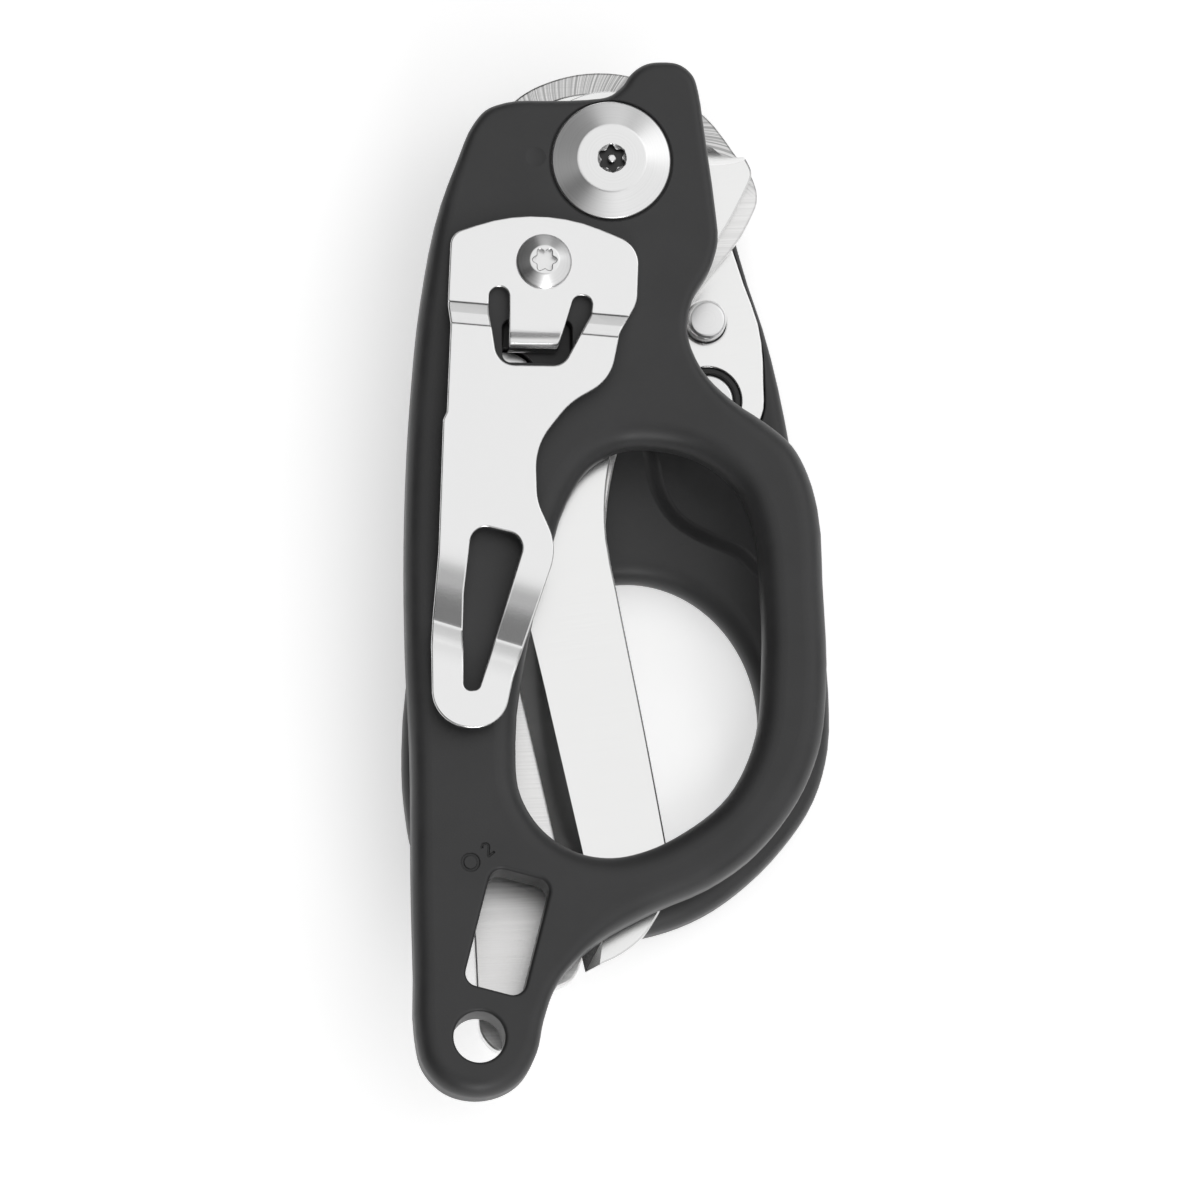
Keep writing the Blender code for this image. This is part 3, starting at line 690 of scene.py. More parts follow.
# %% The coil spring under the plunger
COIL_LOW, COIL_HIGH, COIL_R, WIRE_R, COIL_TURNS = 1.7, 5.7, 1.7, 0.22, 5


def coiled(name, side):
    """A coil spring: the wire's round section spun about the plunger's axis while it climbs."""
    x, y = spot_in(side, PLUNGER)
    low, high = COIL_LOW + WIRE_R + 0.02, COIL_HIGH - WIRE_R - 0.1
    steps = 24 * COIL_TURNS
    bm = bmesh.new()
    turn = Matrix.Translation(((x + COIL_R) * MM, y * MM, low * MM)) @ Matrix.Rotation(math.pi / 2, 4, "X")
    made = bmesh.ops.create_circle(bm, cap_ends=True, segments=10, radius=WIRE_R * MM, matrix=turn)
    climb = (0, 0, (high - low) / steps * MM)
    bmesh.ops.spin(bm, geom=made["verts"][0].link_faces[:], cent=(x * MM, y * MM, 0.0), axis=(0, 0, 1),
                   dvec=climb, angle=math.tau * COIL_TURNS, steps=steps, use_duplicate=False)
    if side == "front":
        bmesh.ops.scale(bm, verts=bm.verts, vec=(1, 1, -1))
        bmesh.ops.translate(bm, verts=bm.verts, vec=(0, 0, 2 * MID * MM))
    return finished(name, bm, 60.0)


# %% The lock's parts
def lock(side):
    """The plate, rivets, stop pin, bush and plunger of one handle."""
    pin_steel = turned_steel(side + "_pin_steel", spot_in(side, STOP_PIN))
    plunger_steel = turned_steel(side + "_plunger_steel", spot_in(side, PLUNGER))
    low, high = levels(side + "_lock_plate")
    outline = trace(PLATE_OUTLINE, 6.0)
    outline = flipped(outline) if side == "front" else outline
    holes = [disc((0, 0), BORE_R), disc(spot_in(side, PLUNGER), POCKET_R - 0.02, 96),
             disc(spot_in(side, STOP_PIN), STOP_PIN_R + FIT)]
    holes += [disc(spot_in(side, spot), RIVET_R + FIT, 32) for spot in RIVETS]
    plate = raised(side + "_plate", outline, holes, low, high, (0.18, 0.18), [(0.22, 0.22)] * 5, 4)
    stand_in(plate, side + "_lock_plate", satin_steel)
    top = 6.6
    for number, spot in enumerate(RIVETS, 1):
        profile = softened([(0.0, 3.0), (RIVET_R - 0.2, 3.0), (RIVET_R, 3.2), (RIVET_R, top - 0.15),
                            (RIVET_R - 0.15, top), (0.0, top)], 0.08)
        rivet = lathe(f"{side}_rivet_{number}", side, profile, spot)
        rivet_steel = turned_steel(f"{side}_rivet_steel_{number}", spot_in(side, spot))
        stand_in(rivet, f"{side}_plate_rivet_{number}", rivet_steel)
    profile = softened([(0.0, 2.5), (STOP_PIN_R - 0.3, 2.5), (STOP_PIN_R, 2.8), (STOP_PIN_R, 8.65),
                        (STOP_PIN_R - 0.35, 9.0), (0.0, 9.0)], 0.2, 4)
    pin = lathe(side + "_pin", side, profile, STOP_PIN)
    stand_in(pin, side + "_stop_pin", pin_steel)
    inner, outer = PLUNGER_R + FIT, POCKET_R - FIT
    profile = [(inner, 4.5), (outer, 4.5), (outer, top - 0.15), (outer - 0.15, top), (inner + 0.2, top),
               (inner, top - 0.2)]
    bush = lathe(side + "_bush", side, profile, PLUNGER, True)
    stand_in(bush, side + "_plunger_bush", bush_plastic)
    flange, hollow = 3.85, 2.3
    profile = softened([(0.0, 6.75), (PLUNGER_R - 0.25, 6.75), (PLUNGER_R, 6.5), (PLUNGER_R, 4.35),
                        (flange, 4.35), (flange, 3.3), (hollow, 3.3), (hollow, COIL_HIGH),
                        (0.0, COIL_HIGH)], 0.12)
    plunger = lathe(side + "_plunger", side, profile, PLUNGER)
    stand_in(plunger, side + "_lock_plunger", plunger_steel)
    coil = coiled(side + "_coil", side)
    stand_in(coil, side + "_plunger_spring", plunger_steel)
    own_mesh(coil)


lock("rear")
lock("front")

# %% [markdown]
# ## The rear handle
#
# The rear handle is the lower one, with a round thumb loop and a soft hollow below the lock plate. The wall
# has a wide radius where fingers go and a small one near the pivot, so the radius is a function of place.

# %% The rear handle's outline and radii
REAR_OUTLINE = (
    (0.0, 10.8), (-7.6, 8.2), (-12.2, 2.0), (-14.0, -9.0), (-15.3, -18.0), (-18.9, -38.0), (-22.0, -54.0),
    (-23.5, -62.0), (-24.0, -69.5), (-23.7, -76.5), (-22.0, -83.6), (-16.8, -89.1), (-10.0, -91.9),
    (-2.0, -92.7), (4.8, -92.1), (12.35, -89.3), (17.55, -85.5), (22.0, -80.8), (25.6, -75.2), (27.3, -69.0),
    (27.4, -62.0), (25.1, -46.0), (22.75, -32.0), (21.35, -25.0), (19.4, -17.6), (17.6, -12.4), (15.9, -6.5),
    (13.4, 2.2), (8.3, 8.4),
)
THUMB_HOLE = (3.3, -66.3, 15.6, 17.4)
REAR_RECESS = (
    (5.2, -30.8), (5.4, -34.5), (6.2, -38.0), (8.4, -41.6), (12.0, -43.9), (16.0, -45.6), (19.6, -48.4),
    (21.6, -48.0), (21.4, -42.0), (20.2, -35.6), (18.6, -31.6), (12.0, -30.6),
)


def blend_between(value, start, end):
    """0 at start, 1 at end, smooth between."""
    t = min(1.0, max(0.0, (value - start) / (end - start)))
    return t * t * (3 - 2 * t)


def rear_rounds(point):
    """Lower and upper edge radius of the rear handle's outer wall."""
    soft = blend_between(point.y, -8.0, -40.0)
    return 1.2 + 0.8 * soft, 1.0 + 1.2 * soft


def dish(outline, floor, mouth, inner, outer, steps=12):
    """A shallow hollow's cutter: its wall is one soft S from the floor, inside the outline, to the mouth."""
    stations = []
    for k in range(steps + 1):
        t = k / steps
        stations.append((inner - (inner + outer) * t, floor + (mouth - floor) * t * t * (3 - 2 * t)))
    stations.append((-outer, mouth + 1.0))
    return walled("cutter", [outline], [[stations] * len(outline)])


# %% The rear handle
rear_wall = trace(REAR_OUTLINE)
thumb_hole = ellipse(*THUMB_HOLE, 120)
rear_shell = raised("rear_grip_shell", rear_wall, [thumb_hole], REAR_LOW, REAR_HIGH, rear_rounds,
                    [(2.8, 2.8)])
flange_seat = drum((0, 0), 7.25, 1.6, 0.0, 0.2)
hollow = dish(trace(REAR_RECESS, 6.0), REAR_HIGH - 1.9, REAR_HIGH, 1.9, 0.5)
cut(rear_shell, lock_cutters("rear") + [flange_seat, hollow])
even_shading(rear_shell)
stand_in(rear_shell, "rear_handle", handle_plastic)

# %% [markdown]
# ## The front handle
#
# The front handle is the piece one sees first: a long spine, an oval finger loop, a horn beside the pivot,
# the wrench slot with its engraved chemical sign, and a lanyard eye at the end. The horn and the neck have
# tight edges, the loop has the widest ones, and the spine lies between.

# %% The front handle's outline and radii
FRONT_OUTLINE = (
    (-12.6, 7.1), (-15.1, 6.1), (-16.6, 4.3), (-18.4, 0.1), (-20.2, -4.8), (-22.7, -17.0), (-23.9, -29.0),
    (-24.65, -47.0), (-24.5, -60.0), (-23.95, -72.0), (-23.75, -90.0), (-23.5, -99.4), (-23.35, -106.7),
    (-22.4, -110.6), (-19.9, -113.3), (-16.0, -114.3), (-11.2, -112.6), (-8.8, -108.8), (-8.0, -105.0),
    (-6.4, -100.5), (-3.0, -96.4), (5.4, -91.1), (12.0, -88.1), (16.6, -84.9), (20.7, -80.4), (23.6, -75.7),
    (25.4, -70.5), (26.1, -64.0), (25.7, -51.0), (25.1, -41.9), (23.9, -37.6), (22.05, -34.2), (18.6, -31.3),
    (15.0, -29.0), (10.8, -24.8), (9.3, -20.8), (9.8, -17.0), (12.2, -12.5), (12.95, -9.5), (12.7, -6.0),
    (11.75, 1.0), (11.1, 5.6), (10.6, 8.8), (9.9, 10.8), (8.4, 12.05), (6.2, 12.35), (4.1, 12.0),
    (2.6, 10.95), (1.4, 9.3), (0.1, 8.2), (-2.8, 7.6), (-7.6, 7.4),
)
FINGER_HOLE = (
    (1.5, -34.9), (6.0, -34.7), (11.5, -36.3), (15.5, -39.8), (17.4, -44.6), (18.2, -52.0), (18.4, -61.0),
    (17.2, -71.2), (14.3, -77.0), (8.9, -81.6), (4.4, -83.9), (0.3, -84.8), (-3.9, -84.2), (-8.0, -81.6),
    (-10.6, -77.6), (-11.3, -71.0), (-10.2, -61.0), (-7.3, -48.5), (-5.2, -41.6), (-2.3, -37.1),
)
WRENCH_SLOT = round_box((-12.45, -94.4), 3.7, 7.3, 1.6, math.radians(-14))
LANYARD = disc((-15.8, -107.2), 3.1, 72)


def front_rounds(point):
    """Lower and upper edge radius of the front handle's outer wall."""
    spine = blend_between(point.x, -2.0, -14.0) * blend_between(point.y, 4.0, -18.0)
    loop = blend_between(point.x, -6.0, 4.0) * blend_between(point.y, -22.0, -34.0)
    return 1.2, 1.2 + 1.1 * spine + 1.6 * loop


# %% Engraved chemical sign
def stroke(points, width):
    """The outline of a line drawn through points with a round-nosed cutter."""
    path = [Vector(p) for p in points]
    sides = [[], []]
    for i, point in enumerate(path):
        along = (path[min(i + 1, len(path) - 1)] - path[max(i - 1, 0)]).normalized()
        across = Vector((along.y, -along.x)) * width / 2
        sides[0].append(point + across)
        sides[1].append(point - across)
    return sides[0] + sides[1][::-1]


def engraved(outlines, floor, top):
    """A cutter for an engraved mark, with a soft floor and a broken edge at the surface."""
    stations = [(0.06, floor), (0.0, floor + 0.06), (0.0, top - 0.04), (-0.05, top + 0.01), (-0.05, top + 1)]
    return walled("cutter", outlines, [[stations] * len(outline) for outline in outlines])


SIGN_TURN = math.radians(38)
LETTER_AT, DIGIT_AT = Vector((-16.9, -86.0)), Vector((-14.9, -84.4))
digit_hook = [Vector((math.cos(math.radians(a)), math.sin(math.radians(a)))) * 0.42 + Vector((0.0, 0.36))
              for a in range(165, -46, -15)]
digit_curve = stroke([DIGIT_AT + turned_by(p, SIGN_TURN) for p in digit_hook + [Vector((-0.4, -0.68))]], 0.26)
digit_base = round_box(DIGIT_AT + turned_by(Vector((0.02, -0.76)), SIGN_TURN), 0.5, 0.13, 0.06, SIGN_TURN, 3)
letter = [ellipse(*LETTER_AT, 1.15, 1.15, 48), ellipse(*LETTER_AT, 0.78, 0.78, 48)]
SIGN_FLOOR = FRONT_HIGH - 0.25

# %% The front handle
front_shell = raised("front_grip_shell", trace(FRONT_OUTLINE), [trace(FINGER_HOLE), WRENCH_SLOT, LANYARD],
                     FRONT_LOW, FRONT_HIGH, front_rounds, [(1.6, 2.8), (0.4, 0.5), (0.4, 0.5)])
head_seat = drum((0, 0), 7.4, FRONT_HIGH - 0.5, FRONT_HIGH, 0.15)
tongue_recess = well(round_box((-8.9, -22.3), 4.2, 2.6, 1.0), FRONT_HIGH - 1.7, FRONT_HIGH, 0.3, 0.2)
insert_pocket = spun("cutter", [(0.0, 12.0), (2.7, 12.0), (2.7, 17.2), (0.0, 17.2)], SCREW_AT)
screw_hole = drum(SCREW_AT, 1.7, 12.0, FRONT_HIGH, 0.1)
ball = bmesh.new()
bmesh.ops.create_uvsphere(ball, u_segments=96, v_segments=64, radius=5.0 * MM)
bmesh.ops.translate(ball, verts=ball.verts, vec=(-9.1 * MM, 0.3 * MM, (FRONT_HIGH + 5.0 - 0.15) * MM))
dimple = finished("cutter", ball)
signs = [engraved(letter, SIGN_FLOOR, FRONT_HIGH), engraved([digit_curve], SIGN_FLOOR, FRONT_HIGH),
         engraved([digit_base], SIGN_FLOOR - 0.01, FRONT_HIGH)]
pockets = [head_seat, tongue_recess, insert_pocket, screw_hole, dimple]
cut(front_shell, lock_cutters("front") + pockets + signs)
even_shading(front_shell)
stand_in(front_shell, "front_handle", handle_plastic)

# %% [markdown]
# ## The blades
#
# Both blades are ground from sheet steel. Each has a broad tang round the pivot and one cutting edge with a
# bevel. The bevel is part of the wall: along the cutting edge the wall leans in, by a width that grows from
# nothing at the plunge line, and everywhere else it stands straight with a narrow edge break, which catches a
# dark line of reflection. The front blade's hook is scooped out with a ball, as a round wheel would leave it.

# %% A blade's walls
FRONT_BLADE_OUTLINE = (
    (-0.6, 9.7), (-6.3, 8.7), (-11.0, 5.6), (-12.9, -1.0), (-11.0, -8.0), (-9.2, -13.2), (-9.0, -18.6),
    (-10.4, -24.4), (-12.8, -31.0), (-14.2, -40.0), (-13.2, -50.0), (-10.1, -64.0), (-6.0, -81.9),
    (-2.4, -97.6, SHARP), (0.9, -96.2), (4.0, -93.9), (6.2, -90.8), (8.0, -86.8, SHARP), (7.2, -82.4),
    (4.6, -68.4), (1.2, -51.3), (0.0, -45.0), (-0.1, -39.5), (0.6, -34.6), (4.4, -25.0), (9.4, -16.0),
    (13.4, -8.3), (16.8, -2.0), (17.5, 0.1), (16.6, 2.2, SHARP), (14.6, 2.2), (12.7, 3.8), (10.1, 6.4),
    (5.1, 8.9),
)
REAR_BLADE_OUTLINE = (
    (0.2, 12.6), (-5.6, 11.8), (-10.9, 9.0), (-14.2, 3.6), (-15.6, -4.0), (-15.2, -15.0), (-16.4, -28.0),
    (-18.3, -40.0), (-19.3, -52.0), (-18.6, -64.0), (-17.0, -80.0), (-15.7, -93.6), (-15.2, -102.0),
    (-14.7, -105.5), (-12.9, -107.2), (-11.0, -107.2), (-9.3, -105.0), (-7.4, -100.4), (-3.8, -98.2),
    (-2.7, -96.0), (-1.8, -80.0), (-0.6, -64.0), (0.0, -50.0), (0.3, -40.0), (1.8, -33.0), (4.8, -27.0),
    (7.9, -21.4), (9.4, -17.6), (11.2, -14.2), (17.4, -5.4), (18.4, -2.6), (17.7, 0.2), (15.6, 3.0),
    (13.2, 6.3), (7.5, 10.7),
)
BREAK_WIDTH, BREAK_FALL = 0.2, 0.13
LAND = 0.25
SEAT_R = 6.05


def ground(name, outline, low, high, bevel, bevel_up):
    """A blade between two levels. bevel gives the grind's width at a place, and it opens up or down."""
    stations = []
    for point in outline:
        width = bevel(point)
        reach = max(BREAK_WIDTH, width)
        fall = max(BREAK_FALL, (high - low - LAND) * min(1.0, width / 0.8))
        up = [(BREAK_WIDTH + 0.1, low), (BREAK_WIDTH, low), (0.0, low + BREAK_FALL), (0.0, high - fall),
              (reach, high), (reach + 0.1, high)]
        if not bevel_up:
            up = [(inset, low + high - z) for inset, z in up]
        stations.append(up)
    return walled(name, [outline], [stations], 18.0)


def front_bevel(point):
    """Width of the front blade's grind: along its left edge, from the plunge line to the tip."""
    on_edge = point.x < -2.2 - (point.y + 97.6) * 0.12 and point.y < -33.0
    return 2.75 * blend_between(point.y, -34.0, -44.0) if on_edge else 0.0


def rear_bevel(point):
    """Width of the rear blade's grind, along its right edge."""
    on_edge = point.x > -5.0 and -97.0 < point.y < -38.0
    both_ends = blend_between(point.y, -40.0, -50.0) * blend_between(point.y, -97.0, -94.0)
    return 2.4 * both_ends if on_edge else 0.0


def blade_cutters():
    """What both blades lose on both faces: the bore and the washers' seats."""
    rear_low, rear_high = levels("rear_blade")
    front_low, front_high = levels("front_blade")
    seats = {"rear": ((rear_low + 0.5, rear_low), (rear_high - 0.3, rear_high)),
             "front": ((front_high - 0.5, front_high), (front_low + 0.3, front_low))}
    return {side: [drum((0, 0), BORE_R, 5.0, 14.0)] + [drum((0, 0), SEAT_R, *pair) for pair in pairs]
            for side, pairs in seats.items()}


# %% The blades
blade_cuts = blade_cutters()
rear_edge, front_edge = trace(REAR_BLADE_OUTLINE), trace(FRONT_BLADE_OUTLINE)
rear_blade = ground("rear_cutting_blade", rear_edge, *levels("rear_blade"), rear_bevel, False)
cut(rear_blade, blade_cuts["rear"], 18.0)
even_shading(rear_blade)
stand_in(rear_blade, "rear_blade", ground_steel)

front_blade = ground("front_cutting_blade", front_edge, *levels("front_blade"), front_bevel, True)
wheel = bmesh.new()
bmesh.ops.create_uvsphere(wheel, u_segments=180, v_segments=120, radius=15.2 * MM)
bmesh.ops.translate(wheel, verts=wheel.verts, vec=(12.9 * MM, 11.9 * MM, 22.3 * MM))
cut(front_blade, blade_cuts["front"] + [finished("cutter", wheel)], 18.0)
even_shading(front_blade)
stand_in(front_blade, "front_blade", satin_steel)

# %% [markdown]
# ## The pivot
#
# A barrel with a flange comes up from the back, and a big cone-headed screw goes into it from the front. The
# head's socket has six lobes and a pin in the middle, so that only the right driver turns it. Bronze washers
# keep the layers from rubbing.


# %% Sockets
def lobed(spot, radius, depth=0.14, count=120, start=0.0):
    """The outline of a socket with six round lobes, the first at the angle start."""
    outline = []
    for k in range(count):
        turn = math.tau * k / count
        reach = radius * (1 - depth + depth * math.cos(6 * (turn - start)))
        outline.append(Vector((spot[0] + reach * math.cos(turn), spot[1] + reach * math.sin(turn))))
    return outline


def socket_cutter(outlines, floor, top):
    """A cutter for a driver socket, with a small flare at its mouth."""
    stations = [(0.0, floor), (0.0, top - 0.1), (-0.1, top), (-0.1, top + 1.0)]
    return walled("cutter", outlines, [[stations] * len(outline) for outline in outlines])


# %% Pivot screw, barrel and washers
screw_foot, head_high = levels("pivot_screw")
head_low = FRONT_HIGH - 0.35
HEAD_R, HEAD_FLAT_R, SHANK_R = 7.2, 4.1, 3.0
profile = softened([(0.0, head_high), (HEAD_FLAT_R, head_high), (HEAD_R - 0.12, head_low + 0.5),
                    (HEAD_R, head_low + 0.35), (HEAD_R, head_low), (SHANK_R, head_low),
                    (SHANK_R, screw_foot + 0.3), (SHANK_R - 0.3, screw_foot), (0.0, screw_foot)], 0.18, 4)
pivot_screw = spun("pivot_screw_turned", profile, (0, 0), steps=180)
mouth = [(0.46, head_high - 0.4), (1.36, head_high - 0.4), (1.76, head_high), (1.76, head_high + 1.0),
         (0.46, head_high + 1.0)]
driver = [lobed((0, 0), 1.72, 0.13, 120, math.radians(35)), disc((0, 0), 0.46, 32)]
driver = socket_cutter(driver, head_high - 1.3, head_high - 0.05)
cut(pivot_screw, [driver, spun("cutter", mouth, (0, 0), True)], 30.0)
even_shading(pivot_screw)
# The socket, 2 mm across the middle, gets painted shade: its inside is coloured near-black.
pivot_steel = turned_steel("pivot_steel", (0, 0), (2.0, head_high))
stand_in(pivot_screw, "pivot_screw", pivot_steel)

BARREL_R, BARREL_TOP, FLANGE_R, FLANGE_T = 4.0, 17.4, 7.0, 1.4
profile = [(0.0, 3.0), (3.1, 3.0), (3.1, BARREL_TOP - 0.2), (3.3, BARREL_TOP), (BARREL_R - 0.15, BARREL_TOP),
           (BARREL_R, BARREL_TOP - 0.15), (BARREL_R, FLANGE_T), (FLANGE_R, FLANGE_T), (FLANGE_R, 0.3),
           (FLANGE_R - 0.3, 0.0), (0.0, 0.0)]
barrel = spun("pivot_barrel_turned", softened(profile, 0.1), (0, 0), steps=144)
stand_in(barrel, "pivot_barrel", pivot_steel)

for node in ("rear_pivot_washer", "middle_pivot_washer", "front_pivot_washer"):
    low, high = levels(node)
    ring = [(4.15, low + 0.08), (4.23, low), (5.82, low), (5.9, low + 0.08), (5.9, high - 0.08), (5.82, high),
            (4.23, high), (4.15, high - 0.08)]
    stand_in(spun(node + "_turned", ring, (0, 0), True), node, bronze)

# %% [markdown]
# ## The pocket clip
#
# The clip is one strip of spring steel. It is punched flat, with a slot round its tongue and a long window,
# then bent: up in a jog to clear the handle, down again to the contact bend, and up at the tip. Here it is
# made the same way: a flat sheet, knife cuts across it wherever it bends, and then each vertex is lifted by
# the height of the bent strip at its place. A bend is a list of places along the strip with their heights.

# %% The flat sheet
CLIP_OUTLINE = (
    (-19.4, -9.5, 2.0), (-8.8, -5.75, 21.0), (3.3, -10.6, 3.4), (3.05, -17.6, 4.0), (0.85, -21.6, 2.5),
    (-0.3, -27.4, 5.5), (-5.2, -30.3, 9.0), (-9.3, -35.6, 8.0), (-9.1, -42.4, 7.0), (-6.6, -47.9, 7.0),
    (-12.0, -64.0, 8.0), (-13.3, -70.2, 4.2), (-21.7, -70.2, 4.6), (-21.85, -60.0, 6.0), (-21.0, -49.0, 20.0),
    (-20.45, -32.6, 0.3), (-20.0, -31.6, 0.3), (-19.55, -20.8, 2.0), (-19.8, -18.4, 2.0),
)
CLIP_WINDOW = (
    (-16.95, -45.2, 1.9), (-17.85, -53.5, 8.0), (-17.95, -65.7, 0.85), (-16.15, -65.5, 0.85),
    (-14.5, -60.3, 6.0), (-10.4, -46.7, 1.9),
)
CLIP_SLOT = (
    (-14.75, -15.95, 1.14), (-12.4, -15.95, 1.14), (-12.4, -23.5, 0.15), (-6.5, -23.5, 0.15),
    (-4.5, -16.8, 1.05), (-2.3, -17.0, 1.05), (-2.55, -19.2, 2.0), (-6.0, -25.8, 2.2), (-13.9, -25.8, 2.4),
    (-14.85, -19.5, 4.0),
)
CLIP_T = 1.1
CLIP_BASE = FRONT_HIGH + 0.2
JOG_TILT, JOG_MIDDLE = 0.072, -9.0
JOG_BENDS = ((9.0, 0.0), (-18.46, 0.0), (-18.68, 0.22), (-20.0, 0.86), (-21.4, 1.38), (-21.6, 1.56),
             (-90.0, 1.56))
JOG_HALF = 0.1
CONTACT_TILT, CONTACT_MIDDLE = 0.29, -16.3
CONTACT_BENDS = ((-40.0, 0.0), (-48.4, 0.0), (-49.4, -0.05), (-50.4, -0.15), (-51.4, -0.29), (-54.3, -0.79),
                 (-55.6, -1.06), (-57.9, -1.6), (-58.4, -1.72), (-59.6, -1.14), (-60.6, -0.7), (-61.6, -0.34),
                 (-62.6, -0.09), (-63.6, 0.04), (-80.0, 0.2))
CONTACT_LINE = -58.4
TONGUE_BEND, TONGUE_RUN, TONGUE_DROP = -20.6, 2.85, 1.6


def chained(points, along):
    """The height on a chain of straight stretches, given as places and heights, at one place."""
    for (start_y, start_z), (end_y, end_z) in zip(points, points[1:]):
        if along >= end_y:
            return start_z + (end_z - start_z) * max(0.0, start_y - along) / (start_y - end_y)
    return points[-1][1]


def averaged(points, along, half):
    """The same height averaged over a short stretch, which rounds every bend."""
    samples = [chained(points, along + half * (k / 6 - 1)) for k in range(13)]
    return sum(samples) / len(samples)


def on_tongue(x, y):
    """Whether a place of the sheet is on the tongue."""
    return -13.4 < x < -3.6 + (y + 17.0) * 0.36 and -24.2 < y < -16.0


def clip_height(x, y):
    """The bent strip's height over its flat part."""
    if on_tongue(x, y):
        reach = min(1.0, max(0.0, (TONGUE_BEND - y) / TONGUE_RUN))
        return -TONGUE_DROP * (1 - math.sqrt(1 - reach**2))
    jog = y + JOG_TILT * (x - JOG_MIDDLE)
    contact = y + CONTACT_TILT * (x - CONTACT_MIDDLE)
    sharp_half, soft_half = 0.15, 0.8
    half = sharp_half + (soft_half - sharp_half) * min(1.0, abs(contact - CONTACT_LINE) / 1.2)
    return averaged(JOG_BENDS, jog, JOG_HALF) + averaged(CONTACT_BENDS, contact, half)


# %% Bending it
def clip():
    """The clip: a sheet with rounded edges, cut across at every bend and then bent."""
    outlines = [cornered(CLIP_OUTLINE), cornered(CLIP_WINDOW), cornered(CLIP_SLOT), disc(SCREW_AT, 1.7, 48)]
    sheet = raised("clip_strip", outlines[0], outlines[1:], 0.0, CLIP_T, (0.22, 0.22), [(0.22, 0.22)] * 3, 4)
    bm = bmesh.new()
    bm.from_mesh(sheet.data)
    lines = []
    for bend, _ in JOG_BENDS[1:-1]:
        lines += [(bend + JOG_HALF * step / 2, JOG_TILT, JOG_MIDDLE) for step in range(-2, 3)]
    lines += [(-47.6 - 0.3 * step, CONTACT_TILT, CONTACT_MIDDLE) for step in range(58)]
    lines += [(CONTACT_LINE + 0.05 * step, CONTACT_TILT, CONTACT_MIDDLE) for step in range(-3, 4)]
    rolls = [math.sin(math.pi / 2 * step / 10) for step in range(11)]
    lines += [(TONGUE_BEND - TONGUE_RUN * roll, 0.0, 0.0) for roll in rolls]
    for y, tilt, middle in lines:
        geom = bm.verts[:] + bm.edges[:] + bm.faces[:]
        point = Vector((middle * MM, y * MM, 0.0))
        bmesh.ops.bisect_plane(bm, geom=geom, dist=1e-7, plane_co=point, plane_no=(tilt, 1.0, 0.0))
    for vert in bm.verts:
        vert.co.z += (CLIP_BASE + clip_height(vert.co.x / MM, vert.co.y / MM)) * MM
    bmesh.ops.triangulate(bm, faces=[f for f in bm.faces if len(f.verts) > 4])
    bmesh.ops.recalc_face_normals(bm, faces=bm.faces)
    bm.to_mesh(sheet.data)
    bm.free()
    sheet.data.shade_smooth()
    sheet.data.set_sharp_from_angle(angle=math.radians(40))
    return sheet


clip_strip = clip()
stand_in(clip_strip, "pocket_clip", clip_steel)

# %% The clip's screw and its insert
foot, top = levels("clip_screw")
seat = CLIP_BASE + CLIP_T + 0.1
profile = softened([(0.0, top), (1.75, top), (3.2, seat + 0.35), (3.35, seat + 0.2), (3.35, seat),
                    (1.4, seat), (1.4, foot), (0.0, foot)], 0.12, 4)
clip_screw = spun("clip_screw_turned", profile, SCREW_AT, steps=120)
cut(clip_screw, [socket_cutter([lobed(SCREW_AT, 1.45)], seat + 0.3, top)], 30.0)
even_shading(clip_screw)
clip_screw_steel = turned_steel("clip_screw_steel", SCREW_AT)
stand_in(clip_screw, "clip_screw", clip_screw_steel)

low, high = levels("clip_insert")
profile = [(1.5, low + 0.2), (1.7, low), (2.45, low), (2.6, low + 0.15), (2.6, high - 0.15), (2.45, high),
           (1.7, high), (1.5, high - 0.2)]
stand_in(spun("clip_insert_turned", profile, SCREW_AT, True), "clip_insert", bronze)

# %% [markdown]
# ## Floor, light and camera
#
# The shears lie on a pale sweep under a bright, soft sky. Steel only looks like steel when it has something
# to reflect, so the sky is white overhead and dark towards the horizon, and brighter on the right. A darker
# card stands at the near left, where the clip's contact bend mirrors it. The camera stands far off with a
# long lens, so the layers hardly shift against each other.

# %% Floor
floor_bm = bmesh.new()
bmesh.ops.create_grid(floor_bm, x_segments=1, y_segments=1, size=3.0)
bmesh.ops.translate(floor_bm, verts=floor_bm.verts, vec=(0.0, 0.0, -0.0003))
floor = finished("floor", floor_bm)
floor_paint = bpy.data.materials.new("floor_paint")
floor_paint.use_nodes = True
floor_shader = floor_paint.node_tree.nodes["Principled BSDF"]
floor_shader.inputs["Base Color"].default_value = (0.86, 0.86, 0.86, 1.0)
floor_shader.inputs["Roughness"].default_value = 0.9
floor_shader.inputs["Specular IOR Level"].default_value = 0.1
floor_shader.inputs["Emission Color"].default_value = (1.0, 1.0, 1.0, 1.0)
floor_shader.inputs["Emission Strength"].default_value = 0.5
floor.data.materials.append(floor_paint)

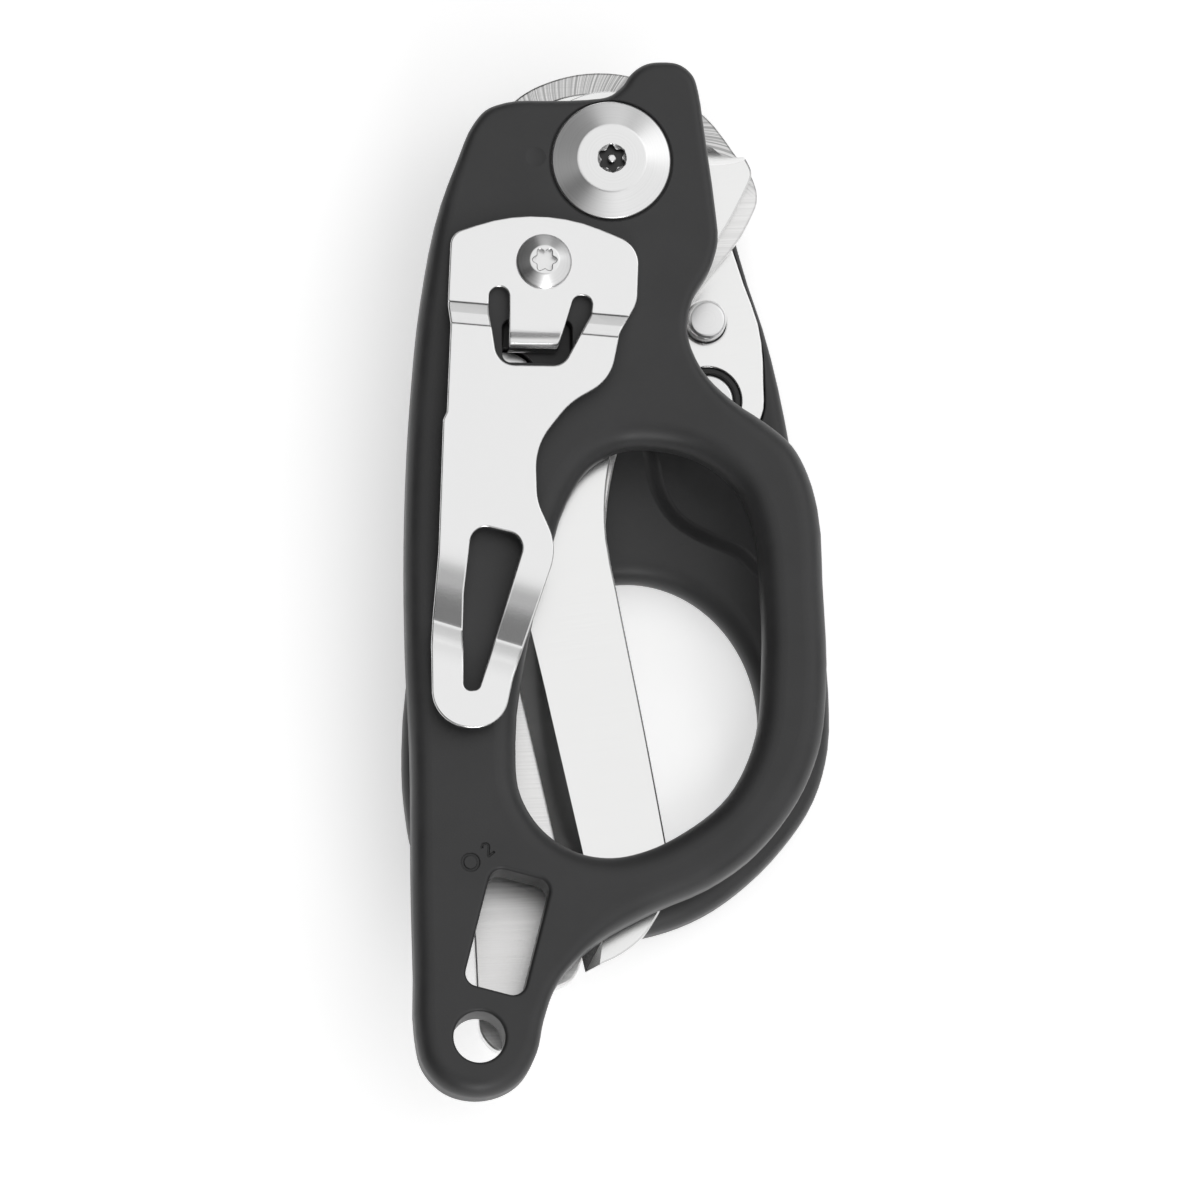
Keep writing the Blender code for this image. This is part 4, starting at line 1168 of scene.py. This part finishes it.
# %% Sky and lamps
scene = bpy.context.scene
world = bpy.data.worlds.new("studio_sky")
scene.world = world
world.use_nodes = True
sky = world.node_tree
back = sky.nodes["Background"]
direction = add(sky, "ShaderNodeTexCoord")
parts = add(sky, "ShaderNodeSeparateXYZ", ((0, direction.outputs["Generated"]),))
RIGHT_GLOW, CARD_DEPTH = 0.32, 0.85
aside = add(sky, "ShaderNodeMath", ((0, parts.outputs[0]), (1, RIGHT_GLOW)), operation="MULTIPLY")
height = add(sky, "ShaderNodeMath", ((0, parts.outputs[2]), (1, aside.outputs[0])), operation="ADD")
dome = add(sky, "ShaderNodeValToRGB", ((0, height.outputs[0]),))
dome.color_ramp.interpolation = "EASE"
stops = ((0.0, 0.015), (0.28, 0.035), (0.5, 0.27), (0.74, 0.9), (1.0, 1.0))
for position, level in stops[1:-1]:
    dome.color_ramp.elements.new(position)
for element, (position, level) in zip(dome.color_ramp.elements, stops):
    element.position = position
    element.color = (level, level, level, 1.0)
nearer = remap(sky, parts.outputs[1], -0.06, -0.21, 0.0, 1.0)
further = remap(sky, parts.outputs[1], -0.42, -0.56, 1.0, 0.0)
left = remap(sky, parts.outputs[0], 0.05, 0.25, 1.0, 0.0)
band = add(sky, "ShaderNodeMath", ((0, nearer), (1, further)), operation="MULTIPLY")
card = add(sky, "ShaderNodeMath", ((0, band.outputs[0]), (1, left)), operation="MULTIPLY")
dimmed = add(sky, "ShaderNodeMath", ((0, card.outputs[0]), (1, -CARD_DEPTH), (2, 1.0)),
             operation="MULTIPLY_ADD")
sky.links.new(dome.outputs[0], back.inputs["Color"])
sky.links.new(dimmed.outputs[0], back.inputs["Strength"])


def lamp(name, place, size, power):
    """A square soft lamp that looks at the middle of the shears."""
    data = bpy.data.lights.new(name, "AREA")
    data.shape = "SQUARE"
    data.size = size
    data.energy = power
    light = bpy.data.objects.new(name, data)
    light.location = place
    aim = Vector((0.0, -0.05, 0.0)) - Vector(place)
    light.rotation_euler = aim.to_track_quat("-Z", "Y").to_euler()
    scene.collection.objects.link(light)
    return light


lamp("side_lamp", (0.75, 0.45, 0.7), 0.6, 0.6)
lamp("near_lamp", (0.15, -1.1, 0.5), 0.45, 3.6)
lamp("far_lamp", (0.1, 1.1, 0.55), 0.6, 0.5)
scene.view_settings.view_transform = "Standard"

# %% Camera
target = Vector((-1.3 * MM, -53.7 * MM, 18.0 * MM))
towards = Vector((-0.08, -0.19, 1.0)).normalized()
DISTANCE = 4.8
camera_data = bpy.data.cameras.new("camera")
camera_data.sensor_width = 36.0
camera_data.lens = 1200.0
camera = bpy.data.objects.new("camera", camera_data)
camera.location = target + towards * DISTANCE
ahead = -towards
right = ahead.cross(Vector((0.0, 1.0, 0.0))).normalized()
above = right.cross(ahead)
camera.rotation_euler = Matrix((right, above, towards)).transposed().to_euler()
scene.collection.objects.link(camera)
scene.camera = camera
